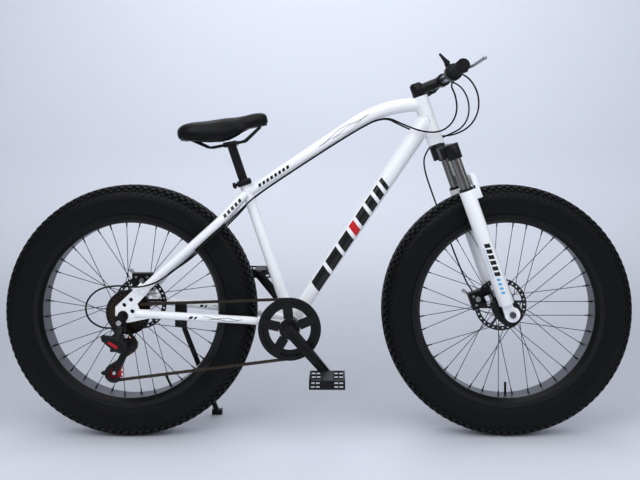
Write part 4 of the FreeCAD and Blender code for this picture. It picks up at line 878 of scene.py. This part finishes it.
def bars(start: float, widths: tuple[float, ...], gap: float, half: float, slant: float,
         outer: float = 0.0) -> tuple[Mark, ...]:
    """Slanted black bars in a row along a tube.

    Args:
        start: Where the first bar starts.
        widths: Bar widths in order.
        gap: Space between bars.
        half: Half height across the tube.
        slant: Lean of the bars.
        outer: Least distance from the middle plane.

    Returns:
        The marks.
    """
    marks = []
    here = start
    for width in widths:
        marks.append(Mark((here, here + width), (-half, half), BLACK, slant, outer=outer))
        here += width + gap
    return tuple(marks)


def marked(name: str, start: tuple[float, float], end: tuple[float, float],
           marks: tuple[Mark, ...]) -> MarkedPaint:
    """White paint with marks along one tube.

    Args:
        name: The finish's name.
        start: Where the tube's axis starts in the side view.
        end: Where it ends.
        marks: The marks.

    Returns:
        The finish.
    """
    white = WHITE_PAINT
    return MarkedPaint(name, white.colour, white.rough, coat=white.coat, grain=white.grain, vary=white.vary,
                       bump=white.bump, sheen=white.sheen, start=start, end=end, marks=marks)


def strokes(*lines: tuple[tuple[float, float], tuple[float, float], float, float]) -> tuple[Mark, ...]:
    """Thin wavy black lines along a tube.

    Args:
        lines: For each line its reach along, its reach across, its wave and its wave length.

    Returns:
        The marks.
    """
    return tuple(Mark(along, across, BLACK, 0.0, wave, length) for along, across, wave, length in lines)


LEG_Y = 84.0
SEAL_IN = 60.0
BAND = (-17.5, 17.5)

DOWN_TUBE_PAINT = marked(
    "down tube paint", (-83, 330), (322.7, 936.6),
    bars(128, (62, 54, 46), 12, BAND[1], 0.35) + (Mark((326, 350), BAND, RED, 0.35),)
    + bars(362, (38, 30, 22, 14), 12, BAND[1], 0.35))
TOP_TUBE_PAINT = marked(
    "top tube paint", (-213.5, 714.5), (110.1, 923.1),
    strokes(((255, 430), (5.0, 6.6), 5.0, 150.0), ((270, 420), (-4.0, -3.0), 6.0, 130.0),
            ((300, 400), (0.5, 1.5), 4.0, 110.0))
    + bars(40, (9,) * 8, 5, 5, 0.3))
STAY_PAINT = marked("seat stay paint", (-286, 636), (-213.5, 714.5), bars(18, (9,) * 5, 5, 5, 0.3))
CHAINSTAY_PAINT = marked(
    "chainstay paint", (-519, 376), (-205, 349),
    strokes(((190, 300), (2.0, 3.4), 2.0, 60.0), ((205, 290), (-3.0, -1.6), 2.0, 70.0))
    + bars(150, (10, 6), 5, 4, 0.6))
FORK_PAINT = marked(
    "fork paint", (423.2, 726.1), (538.4, 400.9),
    bars(160, (12,) * 6, 5, 8, 0.2, LEG_Y)
    + tuple(Mark((264 + 13 * i, 272 + 13 * i), (-7, 3), SKY, 0.2, outer=LEG_Y) for i in range(4))
    + (Mark((170, 262), (-13.2, -12.0), SKY, outer=LEG_Y),
       Mark((-8.0, 1.5), (-26.0, 26.0), BLACK, outer=SEAL_IN)))


@dataclass
class FrameSet(SubAssembly):
    """White welded frame with its printed dashes and weld beads."""

    bead: float = 2.2
    title = "frame"

    def weld(self, base: Vector, along: Vector, radius: float, post: Vector, axis: Vector,
             post_radius: float) -> np.ndarray:
        """Closed path where one round tube ends on another.

        Args:
            base: Point on the ending tube's axis, away from the joint.
            along: Direction from there to the joint.
            radius: The ending tube's radius at the joint.
            post: Point on the through tube's axis.
            axis: Direction of the through tube.
            post_radius: Its radius.

        Returns:
            Array of path points.
        """
        along, axis = along.normalized(), axis.normalized()
        u = along.orthogonal().normalized()
        v = along.cross(u)
        path = []
        for turn in np.linspace(0, 2 * math.pi, 48, endpoint=False):
            p = base + (u * math.cos(turn) + v * math.sin(turn)) * radius - post
            p_out = p - axis * p.dot(axis)
            d_out = along - axis * along.dot(axis)
            a, b, c = d_out.dot(d_out), 2 * p_out.dot(d_out), p_out.dot(p_out) - post_radius ** 2
            t = (-b - math.sqrt(max(0.0, b * b - 4 * a * c))) / (2 * a)
            path.append(np.array(p + along * t + post))
        return np.array(path)

    def build(self) -> list[bpy.types.Object]:
        """Makes the weld beads at the head tube, seat tube and bottom bracket.

        Returns:
            The new objects.
        """
        up = Vector((-math.sin(STEER_LEAN), 0, math.cos(STEER_LEAN)))
        seat_up = Vector((-math.sin(SEAT_LEAN), 0, math.cos(SEAT_LEAN)))
        joint = steer(0, 0, 7)
        slope = math.radians(32.8)
        seat_joint = BB + seat_up * 406
        bend_end = Vector((298.7, 0, 978.3))
        draft = Draft()
        for path in (
                self.weld(BB, joint - BB, 25.6, HEAD, up, 24.0),
                self.weld(bend_end - Vector((60, 0, 0)), Vector((1, 0, -0.0035)), 20.5, HEAD, up, 24.0),
                self.weld(seat_joint + Vector((math.cos(slope), 0, math.sin(slope))) * 80,
                          -Vector((math.cos(slope), 0, math.sin(slope))), 14.5, BB, seat_up, 16.0),
                self.weld(joint, BB - joint, 20.2, BB, Vector((0, 1, 0)), 22.0),
                self.weld(BB + seat_up * 120, -seat_up, 16.0, BB, Vector((0, 1, 0)), 22.0)):
            draft.tube(path, self.bead, 8, True)
        beads = draft.build("weld_beads", WHITE_PAINT)
        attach(beads, "frame")
        return [beads]

    def dress(self) -> int:
        """Paints the frame's nodes.

        Returns:
            How many nodes were dressed.
        """
        eased("dropouts", WHITE_PAINT, 1.2)
        count = paint(WHITE_PAINT, "head_tube", "seat_tube")
        count += paint(DOWN_TUBE_PAINT, "down_tube") + paint(TOP_TUBE_PAINT, "top_tube")
        count += paint(STAY_PAINT, "seat_stays") + paint(CHAINSTAY_PAINT, "chainstays")
        count += paint(BLACK_PAINT, "bottom_bracket")
        return count + 1


@dataclass
class Fork(SubAssembly):
    """Crown, chromed uppers, white lowers with a black guard at the right dropout."""

    guard_half: float = 8.0
    guard_deep: float = 5.5
    title = "fork"

    def build(self) -> list[bpy.types.Object]:
        """Makes the guard behind the right dropout.

        Returns:
            The new objects.
        """
        route = [(-56, 36), (-48, 6), (-34, -13), (-9, -29), (3, -28), (19, -10), (22, 2), (16, 18), (2, 36)]
        path = smooth_path([(555.0 + x, -80.0, 370.0 + z) for x, z in route], 2)
        across = np.array((0.0, 1.0, 0.0))
        rows = []
        for point, _, _ in frames_along(path, False):
            i = len(rows)
            along = Vector(path[min(i + 1, len(path) - 1)] - path[max(i - 1, 0)]).normalized()
            side = np.array(along.cross(Vector(across)))
            rows.append([point + side * self.guard_half * a + across * self.guard_deep * b
                         for a, b in ((-1, -1), (1, -1), (1, 1), (-1, 1))])
        draft = Draft()
        draft.grid(np.array(rows), False, True)
        first, last = 0, len(draft.points) - 4
        draft.faces += [(first + 3, first + 2, first + 1, first), (last, last + 1, last + 2, last + 3)]
        guard = draft.build("fork_guard", BLACK_PLASTIC)
        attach(guard, "fork_lowers")
        return [guard]

    def dress(self) -> int:
        """Paints the fork's nodes.

        Returns:
            How many nodes were dressed.
        """
        eased("fork_crown", BLACK_PAINT, 3.0)
        eased("fork_lowers", FORK_PAINT, 2.5)
        count = 2 + paint(CHROME, "stanchions") + paint(GUNMETAL, "front_axle")
        return count + paint(STEEL, "fork_springs") + paint(BLACK_PAINT, "rear_axle")


@dataclass
class Cockpit(SubAssembly):
    """Stem, bar, ribbed grips, levers and shifter."""

    bar_x: float = 79.6
    bar_z: float = 99.0
    grip_out: float = 340.0
    grip_in: float = 215.0
    grip_r: float = 15.2
    title = "cockpit"

    def build(self) -> list[bpy.types.Object]:
        """Makes the grips with their ribs.

        Returns:
            The new objects.
        """
        made = []
        for side in Side:
            draft = Draft()
            profile = [(self.grip_in, 11.3), (self.grip_in, 18.5), (self.grip_in + 3, 18.5),
                       (self.grip_in + 4, self.grip_r)]
            here = self.grip_in + 8
            while here < self.grip_out - 10:
                rib = self.grip_r + 1.3
                profile += [(here, self.grip_r), (here + 0.8, rib), (here + 3.0, rib),
                            (here + 3.8, self.grip_r)]
                here += 5.6
            profile += [(self.grip_out - 4, self.grip_r), (self.grip_out - 2, 17.0), (self.grip_out, 16.0)]
            centre = steer(self.bar_x, 0, self.bar_z)
            draft.lathe(tuple(centre), Vector((0, side.value, 0)), profile, 40)
            grip = draft.build(side.name.lower() + "_grip_ribs", RUBBER, 30)
            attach(grip, "steering")
            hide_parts("grips")
            made.append(grip)
        return made

    def dress(self) -> int:
        """Paints the cockpit's nodes.

        Returns:
            How many nodes were dressed.
        """
        eased("stem", BLACK_PAINT, 1.5)
        eased("bar_clamps", BLACK_PLASTIC, 1.5)
        eased("shift_lever", BLACK_PLASTIC, 1.0)
        eased("right_brake_lever", ALLOY, 0.8)
        eased("left_brake_lever", ALLOY, 0.8)
        return 5 + paint(GUNMETAL, "handlebar")


@dataclass
class Seat(SubAssembly):
    """Padded saddle, its base and rails, post, collar and release lever."""

    voxel: float = 4.0
    cap: float = 3.0
    title = "seat"

    def build(self) -> list[bpy.types.Object]:
        """Makes the padded cover by inflating a copy of the pad.

        Returns:
            The new objects.
        """
        node = frame["nodes"]["saddle_pad"]
        pad = bpy.data.objects.new("saddle_cover", node.data.copy())
        bpy.context.scene.collection.objects.link(pad)
        mesh_it = pad.modifiers.new("remesh", "REMESH")
        mesh_it.mode = "VOXEL"
        mesh_it.voxel_size = self.voxel * MM
        even = pad.modifiers.new("even", "SMOOTH")
        even.factor = 0.5
        even.iterations = 6
        apply_modifiers(pad)
        self.inflate(pad)
        finer = pad.modifiers.new("finer", "SUBSURF")
        finer.levels = 1
        finer.render_levels = 1
        apply_modifiers(pad)
        pad.data.shade_smooth()
        pad.data.materials.clear()
        pad.data.materials.append(LEATHER.material())
        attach(pad, "seatpost")
        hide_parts("saddle_pad")
        return [pad]

    def inflate(self, pad: bpy.types.Object) -> None:
        """Swells the pad a little with a short cloth run.

        Args:
            pad: The remeshed pad.
        """
        before = np.array([v.co for v in pad.data.vertices])
        cloth = pad.modifiers.new("cloth", "CLOTH")
        cloth.settings.use_pressure = True
        cloth.settings.uniform_pressure_force = 4.0
        cloth.settings.effector_weights.gravity = 0.0
        scene = bpy.context.scene
        for number in range(1, 13):
            scene.frame_set(number)
        graph = bpy.context.evaluated_depsgraph_get()
        shaped = pad.evaluated_get(graph)
        after = np.array([v.co for v in shaped.data.vertices])
        pad.modifiers.clear()
        scene.frame_set(1)
        move = after - before
        size = np.linalg.norm(move, axis=1, keepdims=True)
        move *= np.minimum(1.0, self.cap * MM / np.maximum(size, 1e-9))
        low = before[:, 2].min()
        for vertex, start, step in zip(pad.data.vertices, before, move):
            vertex.co = start + step
            vertex.co.z = max(vertex.co.z, low)

    def dress(self) -> int:
        """Paints the seat's nodes.

        Returns:
            How many nodes were dressed.
        """
        eased("seatpost", BLACK_PAINT, 1.2)
        eased("seat_clamp", BLACK_PAINT, 1.0)
        eased("seat_clamp_lever", BLACK_PAINT, 1.0)
        return 3 + paint(BLACK_PLASTIC, "saddle_base")


@dataclass
class Drive(SubAssembly):
    """Cranks, guarded chainring, pedals, chain and cogs."""

    title = "drive"

    def dress(self) -> int:
        """Paints the drive's nodes.

        Returns:
            How many nodes were dressed.
        """
        eased("crank_right", BLACK_PAINT, 2.0)
        eased("crank_left", BLACK_PAINT, 2.0)
        eased("right_pedal", BLACK_PLASTIC, 1.5)
        eased("left_pedal", BLACK_PLASTIC, 1.5)
        return 4 + paint(BLACK_PLASTIC, "chainring") + paint(BRONZE, "chain", "freewheel_cogs")


def bolt_profile(height: float, radius: float) -> list[tuple[float, float]]:
    """Side of a bolt head with an eased rim and a socket.

    Args:
        height: How far the head stands out.
        radius: Its radius.

    Returns:
        Points of (along, radius).
    """
    return [(0, radius), (height - 1, radius), (height, radius - 1),
            (height, radius * 0.45), (height - 1.5, radius * 0.4)]


@dataclass
class Derailleur(SubAssembly):
    """Claw, links, knuckle, cage and pulleys, with moulded covers on the knuckle and the cage's foot."""

    foot: tuple[float, float] = (-583.0, 205.0)
    title = "derailleur"

    def build(self) -> list[bpy.types.Object]:
        """Makes the covers, the red stripe and the bolts.

        Returns:
            The new objects.
        """
        shell = Draft()
        shell.puck([(-604, 321), (-596, 327), (-580, 325), (-560, 318), (-541, 309), (-532, 297), (-536, 281),
                    (-550, 275), (-566, 281), (-586, 297), (-602, 311)], -143.4, -148.0, 0.84)
        stripe = Draft()
        stripe.puck([(-585, 305), (-580, 310), (-556, 296), (-557, 289), (-562, 289)], -147.8, -149.2, 0.9)
        arc = np.radians(np.linspace(95, 325, 24))
        ring = [(27.5, angle) for angle in arc] + [(14.0, angle) for angle in reversed(arc)]
        shield = Draft()
        rim = [(self.foot[0] + r * math.cos(a), self.foot[1] + r * math.sin(a)) for r, a in ring]
        shield.puck(rim, -92.6, -94.8, 0.99)
        shield.puck([(-606, 214), (-616, 211), (-622, 206), (-616, 201), (-606, 199)], -92.6, -95.4, 0.9)
        made = [self.part("knuckle_shell", shell, BLACK_PLASTIC, "derailleur_knuckle", "black_plastic"),
                self.part("knuckle_stripe", stripe, RED_PLASTIC, "derailleur_knuckle", "red_plastic"),
                self.part("cage_shield", shield, BLACK_PLASTIC, "derailleur_cage", "black_plastic")]
        for name, centre, height, radius, body in (
                ("hanger_bolt", (-566, -105, 350), 4.0, 8.0, "frame"),
                ("pulley_bolt", (-583, -92.5, 205), 3.4, 5.0, "derailleur_cage")):
            bolt = Draft()
            bolt.lathe(centre, Vector((0, -1, 0)), bolt_profile(height, radius), 24)
            made.append(self.part(name, bolt, STEEL, body, "steel"))
        return made

    @staticmethod
    def part(name: str, draft: Draft, finish: Finish, body: str, slot: str) -> bpy.types.Object:
        """Builds one added piece on a body.

        Args:
            name: The object's name.
            draft: Its shape.
            finish: Its finish.
            body: The body that it rides.
            slot: The record's material slot; not used.

        Returns:
            The object.
        """
        made = draft.build(name, finish)
        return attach(made, body)

    def dress(self) -> int:
        """Paints the derailleur's nodes.

        Returns:
            How many nodes were dressed.
        """
        for piece in ("hanger", "outer_link", "inner_link", "knuckle", "cage"):
            eased("derailleur_" + piece, BLACK_PLASTIC, 0.8)
        return 5 + paint(RED_PLASTIC, "guide_pulley", "tension_pulley")


@dataclass
class BrakesAndStand(SubAssembly):
    """Calipers with their arms, pad dials and bolts, and the side stand."""

    dial_radius: float = 8.5
    bolt_radius: float = 4.0
    proud: float = 3.0
    title = "brakes and stand"

    def build(self) -> list[bpy.types.Object]:
        """Makes the pad dial and the bolts on each caliper's inner face.

        Returns:
            The new objects.
        """
        made = []
        for end, face, dial, bolts, body in (
                (End.REAR, 67.0, (-549, 440), ((-566, 452), (-532, 452)), "frame"),
                (End.FRONT, 44.9, (484, 388), ((470, 396), (479, 369)), "fork_lowers")):
            heads = Draft()
            for (x, z), radius in [(dial, self.dial_radius)] + [(bolt, self.bolt_radius) for bolt in bolts]:
                heads.lathe((x, face, z), Vector((0, -1, 0)), bolt_profile(self.proud, radius), 24)
            made.append(Derailleur.part(end.value + "_caliper_bolts", heads, STEEL, body, "steel"))
        return made

    def dress(self) -> int:
        """Paints the calipers, arms and stand.

        Returns:
            How many nodes were dressed.
        """
        for name in ("front_caliper", "rear_caliper", "kickstand_bracket", "kickstand_leg"):
            eased(name, BLACK_PAINT, 1.5)
        for name in ("front_caliper_arm", "rear_caliper_arm"):
            eased(name, STEEL, 0.8)
        return 6


@dataclass
class Cables(SubAssembly):
    """Brake and shift cables along their routes."""

    radius: float = 2.5
    title = "cables"

    def build(self) -> list[bpy.types.Object]:
        """Makes the cables as smooth tubes.

        Returns:
            The new objects.
        """
        start = steer(115.6, -141.6, 99)
        brake = [tuple(start), tuple(start + Vector((0, 45, 0))), (438, -72, 1046), (464, -58, 1004),
                 (468, -40, 954), (448, -16, 912), (406, 8, 888), (354, 30, 884), (298, 37, 896),
                 (246, 30, 918), (196, 18, 943), (119, 17, 909), (-160, 18, 728), (-212, 27, 686),
                 (-272, 72, 622), (-430, 80, 478), (-518, 74, 446)]
        pod = steer(79.6, -172.6, 80.4)
        shift = [tuple(pod), tuple(pod + Vector((0, 60, -10))), (392, -84, 1000), (402, -62, 955),
                 (386, -50, 915), (350, -46, 893), (300, -44, 896), (248, -34, 917), (196, -18, 943),
                 (119, -17, 909), (-160, -18, 728), (-212, -27, 686), (-272, -74, 622), (-430, -112, 478),
                 (-500, -119, 452), (-560, -124, 462), (-620, -126, 452), (-655, -125, 412),
                 (-650, -120, 366), (-616, -114, 340), (-584.3, -112, 338)]
        start = steer(115.6, 141.6, 99)
        front = [tuple(start), tuple(start - Vector((0, 45, 0))), (436, 76, 1044), (460, 72, 1002),
                 (462, 72, 950), (440, 70, 912), (402, 68, 893), (362, 67, 876), (332, 72, 845),
                 (318, 84, 800), (361, 92, 678), (448, 76, 443), (469, 62, 411)]
        rear = Draft()
        rear.tube(smooth_path(brake, 4), self.radius, 10)
        rear.tube(smooth_path(shift, 4), self.radius, 10)
        rear_made = rear.build("rear_cable_runs", RUBBER)
        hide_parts("rear_cables")
        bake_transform(rear_made)
        lead = Draft()
        lead.tube(smooth_path(front, 4), self.radius, 10)
        front_made = lead.build("front_cable_run", RUBBER)
        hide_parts("front_brake_cable")
        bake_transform(front_made)
        return [rear_made, front_made]


@dataclass
class Studio(SubAssembly):
    """Pale sweep, soft lights and the side-on camera."""

    distance: float = 2.06
    lens: float = 38.8
    shift: tuple[float, float] = (-0.0219, -0.1234)
    place: tuple[float, float] = (0.044, 0.81)
    sweep_near: float = -4000.0
    sweep_far: float = 1300.0
    sweep_bend: float = 900.0
    sweep_top: float = 4500.0
    sweep_half: float = 6000.0
    title = "studio"

    def build(self) -> list[bpy.types.Object]:
        """Makes the sweep, the lights and the camera.

        Returns:
            The stage objects.
        """
        sweep = Draft()
        far, bend = self.sweep_far, self.sweep_bend
        line = [(self.sweep_near, 0.0), (far, 0.0)]
        line += [(far + bend * math.sin(a), bend - bend * math.cos(a))
                 for a in np.linspace(0.1, math.pi / 2, 14)]
        line += [(far + bend, self.sweep_top)]
        rows = np.array([[(x, y, z) for x in (-self.sweep_half, self.sweep_half)] for y, z in line])
        sweep.grid(rows, False, False)
        floor = sweep.build("studio_sweep", FLOOR, 60)
        scene = bpy.context.scene
        for name, place, aim, size, power, colour in (
                ("key", (-1.6, -2.6, 3.2), (0, 0, 0.5), 2.4, 38, (1.0, 0.99, 0.97)),
                ("fill", (2.4, -2.4, 2.4), (0, 0, 0.5), 2.6, 24, (0.95, 0.97, 1.0)),
                ("top", (0, 0.6, 3.6), (0, 0, 0), 3.0, 48, (1.0, 1.0, 1.0)),
                ("back", (0, -1.5, 2.8), (0, 2.2, 1.6), 3.0, 42, (0.93, 0.96, 1.0))):
            data = bpy.data.lights.new(name, "AREA")
            data.size = size
            data.energy = power
            data.color = colour
            lamp = bpy.data.objects.new(name, data)
            lamp.location = place
            lamp.rotation_euler = (Vector(aim) - Vector(place)).to_track_quat("-Z", "Y").to_euler()
            scene.collection.objects.link(lamp)
        world = bpy.data.worlds.new("studio")
        scene.world = world
        world.use_nodes = True
        world.node_tree.nodes["Background"].inputs["Color"].default_value = (0.86, 0.9, 1.0, 1.0)
        world.node_tree.nodes["Background"].inputs["Strength"].default_value = 0.34
        view = bpy.data.cameras.new("camera")
        view.lens = self.lens
        view.shift_x, view.shift_y = self.shift
        camera = bpy.data.objects.new("camera", view)
        camera.location = (self.place[0], -self.distance, self.place[1])
        camera.rotation_euler = (math.pi / 2, 0, 0)
        scene.collection.objects.link(camera)
        scene.camera = camera
        scene.view_settings.view_transform = "Standard"
        return [floor]


def main() -> None:
    """Builds every group in order."""
    logging.basicConfig(level=logging.INFO, format="%(name)s %(message)s")
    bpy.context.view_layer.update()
    wheels = (Wheel(End.FRONT, 555.0, 38.0), Wheel(End.REAR, -555.0, 44.0))
    for group in (FrameSet(), Fork(), Cockpit(), Seat(), *wheels, Drive(), Derailleur(), BrakesAndStand(),
                  Cables(), Studio()):
        group.report()


if __name__ == "__main__":
    main()
